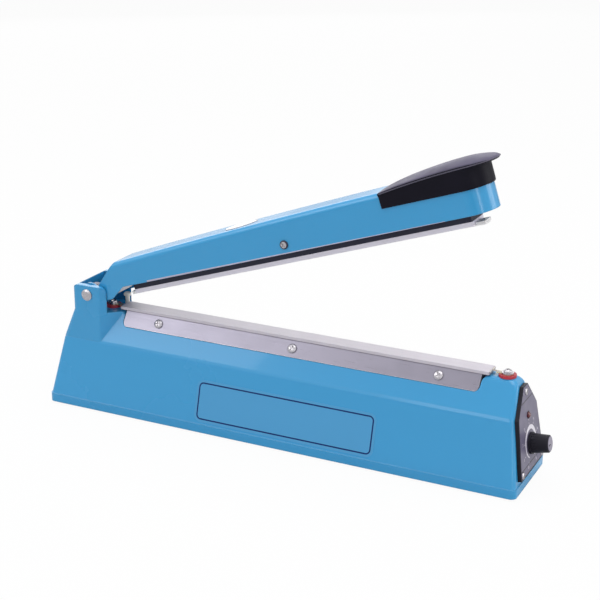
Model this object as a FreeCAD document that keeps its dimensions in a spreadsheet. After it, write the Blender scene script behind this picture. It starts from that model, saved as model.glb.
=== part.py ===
import FreeCAD, Part
import math
import os

import Sketcher
from FreeCAD import Placement, Rotation, Vector

# Driving dimensions, in millimetres and degrees

sizes = {
    # Cast base: a rim, two leaning walls that meet at a crease, and a narrow ridge
    "base_length": 425.0,
    "base_width": 76.5,
    "rim_height": 7.5,
    "rim_step": 0.85,
    "rim_corner": 5.0,
    "crease_height": 58.0,
    "crease_width": 49.0,
    "crease_soften": 1.2,
    "ridge_height": 83.5,
    "ridge_width": 14.5,
    "ridge_round": 2.2,
    "ridge_end_round": 6.0,
    "end_lean": 8.5,
    "end_corner": 4.0,
    "wall": 2.2,
    "deck": 3.0,
    # Hinge tower at the rear end of the base
    "tower_side": 27.0,
    "tower_nose_length": 15.0,
    "tower_inset": 19.5,
    "tower_lean_rise": 0.5,
    "ear_rise": 23.5,
    "ear_inner": 19.3,
    "ear_round": 6.0,
    "tower_edge": 3.0,
    "slot_wall": 4.0,
    # Saddle that the sealing bed lies in
    "saddle_offset": 1.0,
    "saddle_inset": 40.5,
    "saddle_depth": 11.5,
    "saddle_lower_round": 5.0,
    "saddle_upper_round": 5.0,
    # Floor plate, feet and their posts
    "floor_recess": 1.0,
    "floor_thickness": 1.2,
    "floor_gap": 0.6,
    "foot_drop": 2.0,
    "foot_radius": 7.5,
    "foot_bore": 2.2,
    "foot_sink": 4.4,
    "foot_sink_depth": 1.8,
    "foot_inset_x": 14.0,
    "foot_inset_y": 10.5,
    "post_radius": 4.5,
    "foot_screw_radius": 2.0,
    "foot_screw_head": 3.8,
    "foot_screw_head_height": 1.6,
    "foot_screw_length": 12.0,
    # Hinge pin and its caps
    "hinge_inset": 15.0,
    "hinge_rise": 15.5,
    "pin_radius": 3.0,
    "running_gap": 0.05,
    "seat_gap": 0.03,
    "pin_cap_radius": 5.0,
    "pin_cap_height": 1.6,
    # Sealing bed
    "strip_thickness": 1.4,
    "strip_gap": 0.4,
    "strip_proud": 1.1,
    "strip_corner": 4.6,
    "strip_screw_spacing": 126.5,
    "strip_screw_drop": 5.1,
    "strip_screw_head": 3.9,
    "strip_screw_head_height": 2.0,
    "strip_screw_radius": 2.0,
    "strip_screw_length": 7.0,
    "cloth_thickness": 0.3,
    "cloth_drop": 9.0,
    "bed_proud": 2.8,
    "bed_lip": 1.3,
    "bed_lip_half": 7.4,
    "bed_overhang": 5.5,
    "bed_slot_half": 6.0,
    "bed_slot_depth": 6.0,
    "tape_thickness": 0.4,
    "tape_half": 6.0,
    "ribbon_thickness": 0.2,
    "ribbon_half": 1.5,
    # Ribbon terminals on the ridge
    "terminal_reach": 12.0,
    "fibre_radius": 7.0,
    "fibre_thickness": 2.0,
    "lug_radius": 4.6,
    "lug_half": 2.6,
    "lug_thickness": 0.6,
    "lug_reach": 8.6,
    "washer_radius": 4.8,
    "washer_thickness": 0.8,
    "terminal_head": 3.7,
    "terminal_head_height": 2.6,
    "terminal_radius": 2.0,
    "terminal_length": 16.0,
    # Control panel on the right-hand end
    "panel_thickness": 3.0,
    "panel_bottom": 10.8,
    "panel_bottom_half": 29.0,
    "panel_shoulder_rise": 0.1,
    "panel_shoulder_half": 23.0,
    "panel_top_drop": 4.1,
    "panel_top_half": 5.2,
    "panel_corner": 1.5,
    "panel_screw_low": 14.5,
    "panel_screw_half": 24.0,
    "panel_screw_drop": 5.4,
    "panel_screw_radius": 1.5,
    "panel_screw_head": 2.7,
    "panel_screw_head_height": 1.3,
    "panel_screw_length": 8.0,
    "lamp_height": 55.0,
    "lamp_radius": 2.5,
    "lamp_proud": 2.0,
    "lamp_flange": 3.1,
    "lamp_depth": 5.0,
    "lamp_leg_radius": 0.4,
    "lamp_leg_spacing": 2.54,
    # Timer potentiometer, knob and board
    "knob_height": 32.0,
    "knob_gap": 0.6,
    "knob_skirt": 8.6,
    "knob_skirt_height": 1.6,
    "knob_base_radius": 7.75,
    "knob_tip_radius": 6.9,
    "knob_length": 15.0,
    "knob_recess_radius": 6.9,
    "knob_recess_depth": 3.2,
    "knob_flutes": 18.0,
    "knob_flute_radius": 0.5,
    "cap_radius": 5.8,
    "cap_crown": 4.9,
    "cap_sink": 0.8,
    "cap_proud": 0.5,
    "shaft_radius": 3.0,
    "shaft_reach": 13.0,
    "pot_radius": 8.5,
    "pot_depth": 9.0,
    "pot_bush_radius": 4.5,
    "pot_bush_proud": 1.8,
    "pot_nut_radius": 6.3,
    "pot_nut_height": 1.6,
    "board_thickness": 1.6,
    "board_half": 17.0,
    "board_bottom": 14.0,
    "board_top": 58.0,
    "relay_length": 15.0,
    "relay_width": 19.0,
    "relay_height": 15.0,
    "capacitor_radius": 5.0,
    "capacitor_height": 12.0,
    # Transformer on the floor plate
    "core_x": -60.0,
    "core_length": 66.0,
    "core_width": 26.0,
    "core_height": 50.0,
    "core_limb": 11.0,
    "coil_margin": 0.5,
    "coil_build": 9.0,
    "strap_thickness": 1.2,
    "strap_foot": 12.0,
    "strap_width": 18.0,
    "strap_screw_radius": 2.0,
    "strap_screw_head": 3.6,
    "strap_screw_head_height": 2.0,
    # Micro-switch and its plunger
    "plunger_offset": 18.0,
    "plunger_y": 11.0,
    "plunger_radius": 2.0,
    "plunger_button_radius": 3.2,
    "plunger_button_height": 2.5,
    "plunger_rise": 10.1,
    "plunger_travel": 1.5,
    "boss_radius": 5.5,
    "switch_top": 63.0,
    "switch_length": 28.0,
    "switch_width": 10.0,
    "switch_height": 16.0,
    "switch_lead": 10.0,
    # Cord inlet on the rear end
    "inlet_height": 24.0,
    "inlet_bore": 3.6,
    "inlet_neck": 6.0,
    "inlet_flange": 8.0,
    "inlet_flange_height": 2.0,
    # Arm: a channel with a closed top, seen from the hinge
    "arm_open": 18.4,
    "arm_width": 37.0,
    "arm_wall": 1.8,
    "arm_bottom": -0.5,
    "arm_reach": 372.2,
    "arm_rear": 31.0,
    "arm_rear_top": 21.4,
    "arm_end_top": 32.2,
    "arm_bow": 1.75,
    "arm_edge": 4.5,
    "cheek_radius": 9.0,
    "cheek_front": 20.0,
    "cheek_foot": 34.0,
    "cheek_back": 7.0,
    "cheek_back_top": 2.5,
    "bush_radius": 4.5,
    "striker_width": 5.0,
    "striker_height": 5.0,
    "striker_gap": 0.4,
    # Return springs on the hinge
    "spring_wire": 0.8,
    "spring_coil": 6.0,
    "spring_pitch": 2.3,
    "spring_start": 7.6,
    "spring_turns": 3.0,
    "spring_anchor": 3.5,
    # Moulded grip on the free end of the arm
    "grip_gap": 0.1,
    "grip_wall": 1.6,
    "grip_cover": 84.7,
    "grip_skirt_drop": 14.0,
    "grip_skirt_overlap": 2.2,
    "grip_rear_drop": 3.8,
    "grip_front_rise": 2.6,
    "grip_edge_height": 3.0,
    "grip_lip": 0.9,
    "grip_overhang": 9.4,
    "grip_crest_rear": -0.4,
    "grip_crest_early": 4.7,
    "grip_crest_mid": 7.6,
    "grip_crest_high": 9.0,
    "grip_crest_tip": 7.4,
    "grip_screw_radius": 2.0,
    "grip_screw_head": 3.8,
    "grip_screw_head_height": 2.2,
    "grip_screw_reach": 3.6,
    "grip_screw_inset": 18.0,
    "grip_screw_spacing": 44.0,
    # Pressure bar that rocks on a screw through the arm
    "rock_u": 197.3,
    "rock_v": 7.0,
    "rock_radius": 2.5,
    "rock_head": 3.6,
    "rock_head_height": 1.8,
    "rock_nut_width": 8.0,
    "rock_nut_height": 3.5,
    "bar_half_length": 156.0,
    "holder_width": 25.0,
    "holder_top": 1.5,
    "holder_bottom": -5.6,
    "lug_block_length": 20.0,
    "lug_block_top": 12.0,
    "lug_block_width": 24.0,
    "bar_width": 24.0,
    "bar_bottom": -9.2,
    "groove_top": -7.6,
    "silicone_half": 6.5,
    "silicone_bottom": -10.6,
    "silicone_overhang": 7.7,
}

document = FreeCAD.newDocument("impulse_sealer")
sheet = document.addObject("Spreadsheet::Sheet", "sizes")
for row, (alias, number) in enumerate(sizes.items(), start=1):
    sheet.set(f"A{row}", alias)
    sheet.set(f"B{row}", str(number))
    sheet.setAlias(f"B{row}", alias)
document.recompute()


class Formula:
    # A number together with the sheet expression that gives it

    def __init__(self, text, value):
        self.text = text
        self.value = value

    def __add__(self, other):
        other = formula(other)
        return Formula(f"({self.text} + {other.text})", self.value + other.value)

    def __sub__(self, other):
        other = formula(other)
        return Formula(f"({self.text} - {other.text})", self.value - other.value)

    def __mul__(self, other):
        other = formula(other)
        return Formula(f"({self.text} * {other.text})", self.value * other.value)

    def __truediv__(self, other):
        other = formula(other)
        return Formula(f"({self.text} / {other.text})", self.value / other.value)

    def __neg__(self):
        return Formula(f"(-1 * {self.text})", -self.value)

    def __radd__(self, other):
        return formula(other) + self

    def __rsub__(self, other):
        return formula(other) - self

    def __rmul__(self, other):
        return formula(other) * self


def formula(number):
    if isinstance(number, Formula):
        return number
    return Formula(f"({number})", float(number))


def sine(angle):
    return Formula(f"sin({angle.text})", math.sin(math.radians(angle.value)))


def cosine(angle):
    return Formula(f"cos({angle.text})", math.cos(math.radians(angle.value)))


def tangent(angle):
    return Formula(f"tan({angle.text})", math.tan(math.radians(angle.value)))


def arctangent(ratio):
    return Formula(f"(atan({ratio.text}) / 1 deg)", math.degrees(math.atan(ratio.value)))


def root(number):
    return Formula(f"sqrt({number.text})", math.sqrt(number.value))


class Sizes:
    # Each driving dimension by name, read from its cell

    def __getattr__(self, name):
        return Formula(f"sizes.{name}", float(sheet.get(name)))


size = Sizes()


def bind(thing, prop, number):
    thing.setExpression(prop, formula(number).text)


# Sketches and features

def new_body(name):
    return document.addObject("PartDesign::Body", name)


def new_sketch(body, plane, offset=0):
    sketch = body.newObject("Sketcher::SketchObject", f"{body.Name}_sketch")
    origin_plane = [item for item in body.Origin.OriginFeatures if item.Role == plane][0]
    sketch.AttachmentSupport = [(origin_plane, "")]
    sketch.MapMode = "FlatFace"
    bind(sketch, "AttachmentOffset.Base.z", offset)
    return sketch


def pin_point(sketch, geometry, end, x, y):
    for kind, number in (("DistanceX", formula(x)), ("DistanceY", formula(y))):
        index = sketch.addConstraint(Sketcher.Constraint(kind, -1, 1, geometry, end, number.value))
        bind(sketch, f"Constraints[{index}]", number)


def pin_radius(sketch, geometry, radius):
    index = sketch.addConstraint(Sketcher.Constraint("Radius", geometry, formula(radius).value))
    bind(sketch, f"Constraints[{index}]", radius)


def flat(point):
    return Vector(formula(point[0]).value, formula(point[1]).value, 0)


def polygon(sketch, points, bows=None):
    # A closed outline: straight sides, or an arc where bows gives a side its rise to the left
    count = len(points)
    bows = bows or {}
    for side in range(count):
        start = flat(points[side])
        end = flat(points[(side + 1) % count])
        if side in bows:
            sketch.addGeometry(bowed_side(start, end, bows[side].value), False)
        else:
            sketch.addGeometry(Part.LineSegment(start, end), False)
    for side in range(count):
        following = (side + 1) % count
        last = side_ends(side, bows)[1]
        first = side_ends(following, bows)[0]
        sketch.addConstraint(Sketcher.Constraint("Coincident", side, last, following, first))
        pin_point(sketch, following, first, *points[following])
    for side, rise in bows.items():
        start = points[side]
        end = points[(side + 1) % count]
        across = formula(end[0]) - start[0]
        up = formula(end[1]) - start[1]
        chord_squared = across * across + up * up
        twice = rise * (2 if rise.value > 0 else -2)
        pin_radius(sketch, side, (chord_squared / 4 + rise * rise) / twice)


def bowed_side(start, end, rise):
    along = end - start
    left = Vector(-along.y, along.x, 0).normalize()
    radius = (along.Length ** 2 / 4 + rise ** 2) / (2 * abs(rise))
    toward = 1 if rise < 0 else -1
    centre = (start + end) * 0.5 + left * (toward * (radius - abs(rise)))
    first, last = (end, start) if rise > 0 else (start, end)
    angles = [math.atan2(point.y - centre.y, point.x - centre.x) for point in (first, last)]
    if angles[1] < angles[0]:
        angles[1] += 2 * math.pi
    return Part.ArcOfCircle(Part.Circle(centre, Vector(0, 0, 1), radius), *angles)


def side_ends(side, bows):
    # A sketch arc runs anticlockwise, so one that rises to the left starts at its far end
    if side in bows and bows[side].value > 0:
        return 2, 1
    return 1, 2


def rectangle(sketch, left, right, low, high):
    polygon(sketch, [(left, low), (right, low), (right, high), (left, high)])


def rounded_rectangle(sketch, left, right, low, high, radius):
    left, right, low, high = [formula(edge) for edge in (left, right, low, high)]
    corners = [
        (right - radius, low + radius, -90),
        (right - radius, high - radius, 0),
        (left + radius, high - radius, 90),
        (left + radius, low + radius, 180),
    ]
    turn = {-90: (0, -1), 0: (1, 0), 90: (0, 1), 180: (-1, 0), 270: (0, -1)}
    for index, (x, y, angle) in enumerate(corners):
        centre = Vector(x.value, y.value, 0)
        circle = Part.Circle(centre, Vector(0, 0, 1), radius.value)
        arc = Part.ArcOfCircle(circle, math.radians(angle), math.radians(angle + 90))
        sketch.addGeometry(arc, False)
    for index in range(4):
        start = sketch.Geometry[index].EndPoint
        end = sketch.Geometry[(index + 1) % 4].StartPoint
        sketch.addGeometry(Part.LineSegment(start, end), False)
    for index, (x, y, angle) in enumerate(corners):
        line = 4 + index
        before = 4 + (index + 3) % 4
        sketch.addConstraint(Sketcher.Constraint("Coincident", before, 2, index, 1))
        sketch.addConstraint(Sketcher.Constraint("Coincident", index, 2, line, 1))
        first = turn[angle]
        second = turn[angle + 90]
        pin_point(sketch, index, 1, x + radius * first[0], y + radius * first[1])
        pin_point(sketch, index, 2, x + radius * second[0], y + radius * second[1])
        pin_radius(sketch, index, radius)


def circle(sketch, x, y, radius):
    centre = Vector(formula(x).value, formula(y).value, 0)
    shape = Part.Circle(centre, Vector(0, 0, 1), formula(radius).value)
    index = sketch.addGeometry(shape, False)
    pin_point(sketch, index, 3, x, y)
    pin_radius(sketch, index, radius)


def pad(body, sketch, length, both_ways=False, backwards=False):
    feature = body.newObject("PartDesign::Pad", f"{body.Name}_pad")
    feature.Profile = sketch
    feature.Midplane = both_ways
    feature.Reversed = backwards
    bind(feature, "Length", length)
    return feature


def pocket(body, sketch, length, both_ways=False, backwards=False):
    # Every pocket has to take something away
    document.recompute()
    before = body.Shape.Volume
    feature = body.newObject("PartDesign::Pocket", f"{body.Name}_pocket")
    feature.Profile = sketch
    feature.Midplane = both_ways
    feature.Reversed = backwards
    bind(feature, "Length", length)
    document.recompute()
    if body.Shape.Volume > before - 1e-6:
        raise RuntimeError(f"{feature.Name} cuts nothing")
    return feature


def loft(body, sections, cut=False, smooth=False):
    kind = "PartDesign::SubtractiveLoft" if cut else "PartDesign::AdditiveLoft"
    feature = body.newObject(kind, f"{body.Name}_loft")
    feature.Profile = sections[0]
    feature.Sections = sections[1:]
    feature.Ruled = not smooth
    return feature


def edge_names(shape, wanted):
    return [f"Edge{index}" for index, edge in enumerate(shape.Edges, start=1) if wanted(edge)]


def fillet(body, radius, wanted):
    document.recompute()
    feature = body.newObject("PartDesign::Fillet", f"{body.Name}_fillet")
    base = body.Tip if body.Tip != feature else feature.BaseFeature
    names = edge_names(base.Shape, wanted)
    if not names:
        raise RuntimeError(f"{body.Name} has no such edge to round")
    feature.Base = (base, names)
    bind(feature, "Radius", radius)
    document.recompute()
    return feature


def revolve(name, points):
    # A turned piece about its own Z axis, from (radius, height) points
    body = new_body(name)
    sketch = new_sketch(body, "XZ_Plane")
    polygon(sketch, points)
    feature = body.newObject("PartDesign::Revolution", f"{name}_turn")
    feature.Profile = sketch
    feature.ReferenceAxis = (sketch, ["V_Axis"])
    feature.Angle = 360
    return body


# Primitives, booleans and places

turns = {
    "z": Rotation(),
    "-z": Rotation(Vector(1, 0, 0), 180),
    "y": Rotation(Vector(1, 0, 0), -90),
    "-y": Rotation(Vector(1, 0, 0), 90),
    "x": Rotation(Vector(0, 1, 0), 90),
    "-x": Rotation(Vector(0, 1, 0), -90),
}


def put(thing, x=0, y=0, z=0, along="z"):
    thing.Placement = Placement(Vector(), turns[along])
    bind(thing, "Placement.Base.x", x)
    bind(thing, "Placement.Base.y", y)
    bind(thing, "Placement.Base.z", z)
    return thing


def box(name, left, right, front, back, low, high):
    thing = document.addObject("Part::Box", name)
    bind(thing, "Length", formula(right) - left)
    bind(thing, "Width", formula(back) - front)
    bind(thing, "Height", formula(high) - low)
    return put(thing, left, front, low)


def cylinder(name, radius, length, x=0, y=0, z=0, along="z"):
    thing = document.addObject("Part::Cylinder", name)
    bind(thing, "Radius", radius)
    bind(thing, "Height", length)
    return put(thing, x, y, z, along)


def join(name, things):
    thing = document.addObject("Part::MultiFuse", name)
    thing.Shapes = things
    thing.Refine = True
    return thing


def cut(name, base, tools):
    thing = document.addObject("Part::Cut", name)
    thing.Base = base
    thing.Tool = tools[0] if len(tools) == 1 else join(f"{name}_tools", tools)
    thing.Refine = True
    return thing


def common(name, first, second):
    thing = document.addObject("Part::MultiCommon", name)
    thing.Shapes = [first, second]
    return thing


def group(name, things):
    thing = document.addObject("Part::Compound", name)
    thing.Links = things
    return thing


def screw(name, head_radius, head_height, radius, length):
    # Pan-head screw, shank down its own -Z, head seated at zero
    crown = head_radius * 0.62
    return revolve(name, [
        (0, -length),
        (radius, -length),
        (radius, 0),
        (head_radius, 0),
        (head_radius, head_height * 0.55),
        (crown, head_height),
        (0, head_height),
    ])


subparts = []


def subpart(thing, label):
    thing.Label = label
    subparts.append(thing)
    return thing


# The three frames: base, panel and arm

half_length = size.base_length / 2
half_width = size.base_width / 2
crease_half = size.crease_width / 2
ridge_half = size.ridge_width / 2
arm_half = size.arm_width / 2
wall_foot = half_length - size.rim_step
panel_x = wall_foot + size.rim_height * tangent(size.end_lean)
knob_tip = size.panel_thickness + size.knob_gap + size.knob_length + size.cap_proud
knob_reach = (panel_x + knob_tip * cosine(size.end_lean)
              - (size.knob_height - size.cap_crown) * sine(size.end_lean))
base_x = (half_length - knob_reach) / 2

# Places that follow the base's ends, its ridge and the arm's free end

tower_rear = size.tower_inset - half_length
tower_front = tower_rear + size.tower_side
tower_nose = tower_front + size.tower_nose_length
slot_rear = tower_rear + size.slot_wall
hinge_x = tower_rear + size.hinge_inset
plunger_x = hinge_x + size.plunger_offset
saddle_left = tower_nose + size.saddle_offset
saddle_right = half_length - size.saddle_inset
tower_lean_height = size.ridge_height + size.tower_lean_rise
ear_height = size.ridge_height + size.ear_rise
hinge_z = size.ridge_height + size.hinge_rise
plunger_top = size.ridge_height + size.plunger_rise
saddle_height = size.ridge_height - size.saddle_depth
strip_top = size.ridge_height + size.strip_proud
strip_screw_height = size.ridge_height - size.strip_screw_drop
cloth_hem = size.ridge_height - size.cloth_drop
bed_top = size.ridge_height + size.bed_proud
panel_shoulder = size.crease_height + size.panel_shoulder_rise
panel_top = size.ridge_height - size.panel_top_drop
panel_screw_high = panel_top - size.panel_screw_drop
grip_rear = size.arm_reach - size.grip_cover
grip_tip = size.arm_reach + size.grip_overhang
grip_skirt = size.arm_end_top - size.grip_skirt_drop
grip_edge_rear = size.arm_end_top - size.grip_rear_drop
grip_edge_front = size.arm_end_top + size.grip_front_rise


def in_base(thing, label):
    put(thing, base_x, 0, size.foot_drop)
    return subpart(thing, label)


def tilted(thing, angle, x, z):
    thing.Placement = Placement(Vector(), Rotation(Vector(0, 1, 0), 1))
    bind(thing, "Placement.Rotation.Angle", angle)
    bind(thing, "Placement.Base.x", x)
    bind(thing, "Placement.Base.z", z)
    return thing


def in_panel(thing, label):
    tilted(thing, -size.end_lean, base_x + panel_x, size.foot_drop)
    return subpart(thing, label)


def in_arm(thing, label):
    tilted(thing, -size.arm_open, base_x + hinge_x, size.foot_drop + hinge_z)
    return subpart(thing, label)


# Cast base

face_slope = (crease_half - ridge_half) / (size.ridge_height - size.crease_height)
face_stretch = root(face_slope * face_slope + 1)
wall_depth = size.wall * cosine(size.end_lean)


def wall_end(height):
    return wall_foot - (height - size.rim_height) * tangent(size.end_lean)


def upper_face(height):
    # Half width of the leaning upper wall at a height
    return crease_half - (height - size.crease_height) * face_slope


def lower_face(height):
    rise = (height - size.rim_height) / (size.crease_height - size.rim_height)
    return half_width - size.rim_step - rise * (half_width - size.rim_step - crease_half)


def plan_section(body, height, left, right, half_y, corner):
    sketch = new_sketch(body, "XY_Plane", height)
    rounded_rectangle(sketch, left, right, -half_y, half_y, corner)
    return sketch


def tower_back(height):
    # Rear face of the hinge tower, which leans in faster than the end wall
    low = -wall_end(size.crease_height)
    rise = (height - size.crease_height) / (tower_lean_height - size.crease_height)
    return low + (tower_rear - low) * rise


quarter_rise = 1 - math.sqrt(0.5)


def round_corner(body, corner_x, corner_z, radius, facing):
    # Rounds the top corner of a block as seen from the side; facing is -1 for its left corner
    spare = radius / 2
    side = [(corner_x, corner_z - radius), (corner_x - radius * facing, corner_z)]
    outer = [
        (corner_x - radius * facing, corner_z + spare),
        (corner_x + spare * facing, corner_z + spare),
        (corner_x + spare * facing, corner_z - radius),
    ]
    points = side + outer
    bows = {0: radius * quarter_rise}
    if facing > 0:
        points = [side[1], side[0]] + outer[::-1]
    sketch = new_sketch(body, "XZ_Plane")
    polygon(sketch, points, bows)
    pocket(body, sketch, size.base_width, both_ways=True)


def tower(body):
    # Hinge tower: leaning rear, slanted nose, two ears either side of a slot
    sections = []
    heights = (size.crease_height, tower_lean_height, ear_height)
    rears = (-wall_end(size.crease_height), tower_rear, tower_rear)
    for height, rear in zip(heights, rears):
        sketch = new_sketch(body, "XY_Plane", height)
        rounded_rectangle(sketch, rear, tower_nose, -crease_half, crease_half, size.end_corner)
        sections.append(sketch)
    loft(body, sections)
    spare = size.end_corner
    for side in (1, -1):
        nose = new_sketch(body, "XY_Plane", size.crease_height)
        polygon(nose, [
            (tower_front, crease_half * side),
            (tower_nose, ridge_half * side),
            (tower_nose + spare, ridge_half * side),
            (tower_nose + spare, (crease_half + spare) * side),
            (tower_front, (crease_half + spare) * side),
        ])
        pocket(body, nose, ear_height - size.crease_height + spare, backwards=True)
    front = tower_front.value
    edge_y = crease_half.value
    fillet(body, size.tower_edge, lambda edge: all(
        abs(vertex.X - front) < 0.01 and abs(abs(vertex.Y) - edge_y) < 0.01 for vertex in edge.Vertexes
    ))
    slot = new_sketch(body, "XZ_Plane")
    rectangle(slot, slot_rear, tower_nose + spare, size.ridge_height, ear_height + spare)
    pocket(body, slot, size.ear_inner * 2, both_ways=True)
    nose_slope = (tower_nose - tower_front) / (crease_half - ridge_half)
    ear_front = tower_front + (crease_half - size.ear_inner) * nose_slope
    round_corner(body, tower_rear, ear_height, size.ear_round, -1)
    round_corner(body, ear_front, ear_height, size.ear_round, 1)


def ridge_stations():
    # The ridge rolls over at its top, more at the ends than along its sides
    stations = []
    steps = 5
    for step in range(1, steps + 1):
        angle = math.radians(90 * step / steps)
        drop = size.ridge_end_round * (1 - math.sin(angle))
        inset_x = size.ridge_end_round * (1 - math.cos(angle))
        inset_y = formula(0)
        if drop.value < size.ridge_round.value:
            reach = size.ridge_round - drop
            inset_y = size.ridge_round - root(size.ridge_round * size.ridge_round - reach * reach)
        height = size.ridge_height - drop
        stations.append((height, ridge_back(height), wall_end(height) - inset_x, upper_face(height) - inset_y))
    return stations


def ridge_back(height):
    return tower_back(height) + size.wall


def outer_casting():
    body = new_body("outer_casting")
    tower(body)
    rim = new_sketch(body, "XY_Plane")
    rounded_rectangle(rim, -half_length, half_length, -half_width, half_width, size.rim_corner)
    pad(body, rim, size.rim_height)
    soft_low = size.crease_height - size.crease_soften
    soft_high = size.crease_height + size.crease_soften
    roll = size.ridge_height - size.ridge_end_round
    stations = [
        (size.rim_height, -wall_end(size.rim_height), wall_end(size.rim_height), lower_face(size.rim_height)),
        (soft_low, -wall_end(soft_low), wall_end(soft_low), lower_face(soft_low)),
        (soft_high, ridge_back(soft_high), wall_end(soft_high), upper_face(soft_high)),
        (roll, ridge_back(roll), wall_end(roll), upper_face(roll)),
    ]
    sections = [plan_section(body, *station, size.end_corner) for station in stations + ridge_stations()]
    loft(body, sections)
    saddle(body)
    return body


def saddle(body):
    # Flat bed between two S-shaped ends
    low = size.saddle_lower_round
    top = size.saddle_upper_round
    left = saddle_left
    right = saddle_right
    floor = saddle_height
    ridge = size.ridge_height
    sketch = new_sketch(body, "XZ_Plane")
    points = [
        (left - top, ridge),
        (left, ridge - top),
        (left, floor + low),
        (left + low, floor),
        (right - low, floor),
        (right, floor + low),
        (right, ridge - top),
        (right + top, ridge),
        (right + top, ear_height),
        (left - top, ear_height),
    ]
    bows = {0: top * quarter_rise, 2: -low * quarter_rise, 4: -low * quarter_rise, 6: top * quarter_rise}
    polygon(sketch, points, bows)
    pocket(body, sketch, size.base_width, both_ways=True)


def inner_space():
    # Hollow under the casting, open at the floor
    body = new_body("inner_space")
    wall = size.wall
    roof = saddle_height - size.deck
    corner = size.end_corner - wall / 2
    rim = new_sketch(body, "XY_Plane", -wall)
    rounded_rectangle(rim, wall - half_length, half_length - wall, wall - half_width, half_width - wall, corner)
    pad(body, rim, size.rim_height + wall)
    stations = [
        (size.rim_height, lower_face(size.rim_height)),
        (size.crease_height, crease_half),
        (roof, upper_face(roof)),
    ]
    sections = []
    for height, half_y in stations:
        inset = wall * face_stretch
        left = wall - wall_end(height)
        if height.value > size.crease_height.value:
            left = tower_back(height) + wall * 1.5
        sections.append(plan_section(body, height, left, wall_end(height) - wall, half_y - inset, corner))
    loft(body, sections)
    tower_space = new_sketch(body, "XY_Plane", size.crease_height)
    half_space = crease_half - wall * 1.5
    rectangle(tower_space, tower_rear + wall * 1.5, hinge_x + wall * 2, -half_space, half_space)
    pad(body, tower_space, size.ridge_height - size.deck - size.crease_height)
    return body


terminal_right = saddle_right + size.bed_overhang + size.terminal_reach
terminal_left = saddle_left - size.bed_overhang - size.terminal_reach
terminal_places = ((terminal_left, 1), (terminal_right, -1))
foot_x = half_length - size.foot_inset_x
foot_y = half_width - size.foot_inset_y
foot_places = [(foot_x * side_x, foot_y * side_y) for side_x in (1, -1) for side_y in (1, -1)]
floor_top = size.floor_recess + size.floor_thickness
bed_middle = (saddle_left + saddle_right) / 2
strip_screw_places = [bed_middle + size.strip_screw_spacing * step for step in (-1, 0, 1)]
panel_screw_places = [
    (-size.panel_screw_half, size.panel_screw_low),
    (size.panel_screw_half, size.panel_screw_low),
    (formula(0), panel_screw_high),
]


def lean_on_face(thing, side, x, height):
    # Stands a piece on the leaning upper wall, its own Z outward
    thing.Placement = Placement(Vector(), Rotation(Vector(1, 0, 0), 1))
    bind(thing, "Placement.Rotation.Angle", (arctangent(face_slope) - 90) * side)
    bind(thing, "Placement.Base.x", x)
    bind(thing, "Placement.Base.y", upper_face(height) * side)
    bind(thing, "Placement.Base.z", height)
    return thing


def stand_on_end(thing, along, across, height, turn=1):
    # Local Z along the outward normal of the right-hand end wall
    lean = size.end_lean
    thing.Placement = Placement(Vector(), Rotation(Vector(0, 1, 0), 1))
    bind(thing, "Placement.Rotation.Angle", 90 - lean)
    bind(thing, "Placement.Base.x", panel_x + along * cosine(lean) - height * sine(lean))
    bind(thing, "Placement.Base.y", across)
    bind(thing, "Placement.Base.z", along * sine(lean) + height * cosine(lean))
    return thing


def end_hole(name, radius, across, height):
    depth = size.wall * 8
    return stand_on_end(cylinder(name, radius, depth), -depth / 2, across, height)


def stand_on_rear(thing, height):
    # Local Z along the outward normal of the left-hand end wall
    thing.Placement = Placement(Vector(), Rotation(Vector(0, 1, 0), 1))
    bind(thing, "Placement.Rotation.Angle", size.end_lean - 90)
    bind(thing, "Placement.Base.x", -wall_end(height))
    bind(thing, "Placement.Base.z", height)
    return thing


def base_shell():
    outer = outer_casting()
    hollow = cut("hollow_casting", outer, [inner_space()])
    posts = [
        cylinder("post", size.post_radius, size.crease_height - floor_top, x, y, floor_top)
        for x, y in foot_places
    ]
    posts.append(cylinder(
        "switch_boss", size.boss_radius, saddle_height - size.switch_top,
        plunger_x, size.plunger_y, size.switch_top,
    ))
    inner_posts = common("inner_posts", join("posts", posts), outer)
    casting = join("casting", [hollow, inner_posts])
    tools = [cylinder(
        "pin_hole", size.pin_radius + size.seat_gap, size.crease_width * 2,
        hinge_x, -size.crease_width, hinge_z, "y",
    )]
    screw_hole = size.foot_screw_radius + size.seat_gap
    for x, y in foot_places:
        tools.append(cylinder("foot_hole", screw_hole, size.foot_screw_length + size.deck, x, y, 0))
    for x, toward_bed in terminal_places:
        depth = size.terminal_length + size.deck
        tools.append(cylinder(
            "terminal_hole", size.terminal_radius + size.seat_gap, depth, x, 0, size.ridge_height - depth,
        ))
    tools.append(cylinder(
        "plunger_hole", size.plunger_radius + size.running_gap, ear_height - size.switch_top,
        plunger_x, size.plunger_y, size.switch_top,
    ))
    for side in (1, -1):
        tools.append(cylinder(
            "spring_hole", size.spring_wire * 1.4, size.deck * 2,
            hinge_x + size.spring_coil, size.spring_start * side, size.ridge_height - size.deck * 2,
        ))
    for across, height in panel_screw_places:
        tools.append(end_hole("panel_hole", size.panel_screw_radius + size.seat_gap, across, height))
    tools.append(end_hole("pot_hole", size.pot_bush_radius + size.seat_gap, 0, size.knob_height))
    tools.append(end_hole("lamp_hole", size.lamp_radius + size.seat_gap, 0, size.lamp_height))
    inlet = cylinder("inlet_hole", size.inlet_neck + size.seat_gap, size.wall * 4)
    tools.append(cut_through_rear(inlet))
    in_base(cut("base_shell", casting, tools), "base_shell")


def cut_through_rear(thing):
    depth = size.wall * 2
    stand_on_rear(thing, size.inlet_height)
    bind(thing, "Placement.Base.x", depth * cosine(size.end_lean) - wall_end(size.inlet_height))
    bind(thing, "Placement.Base.z", size.inlet_height - depth * sine(size.end_lean))
    return thing


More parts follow.
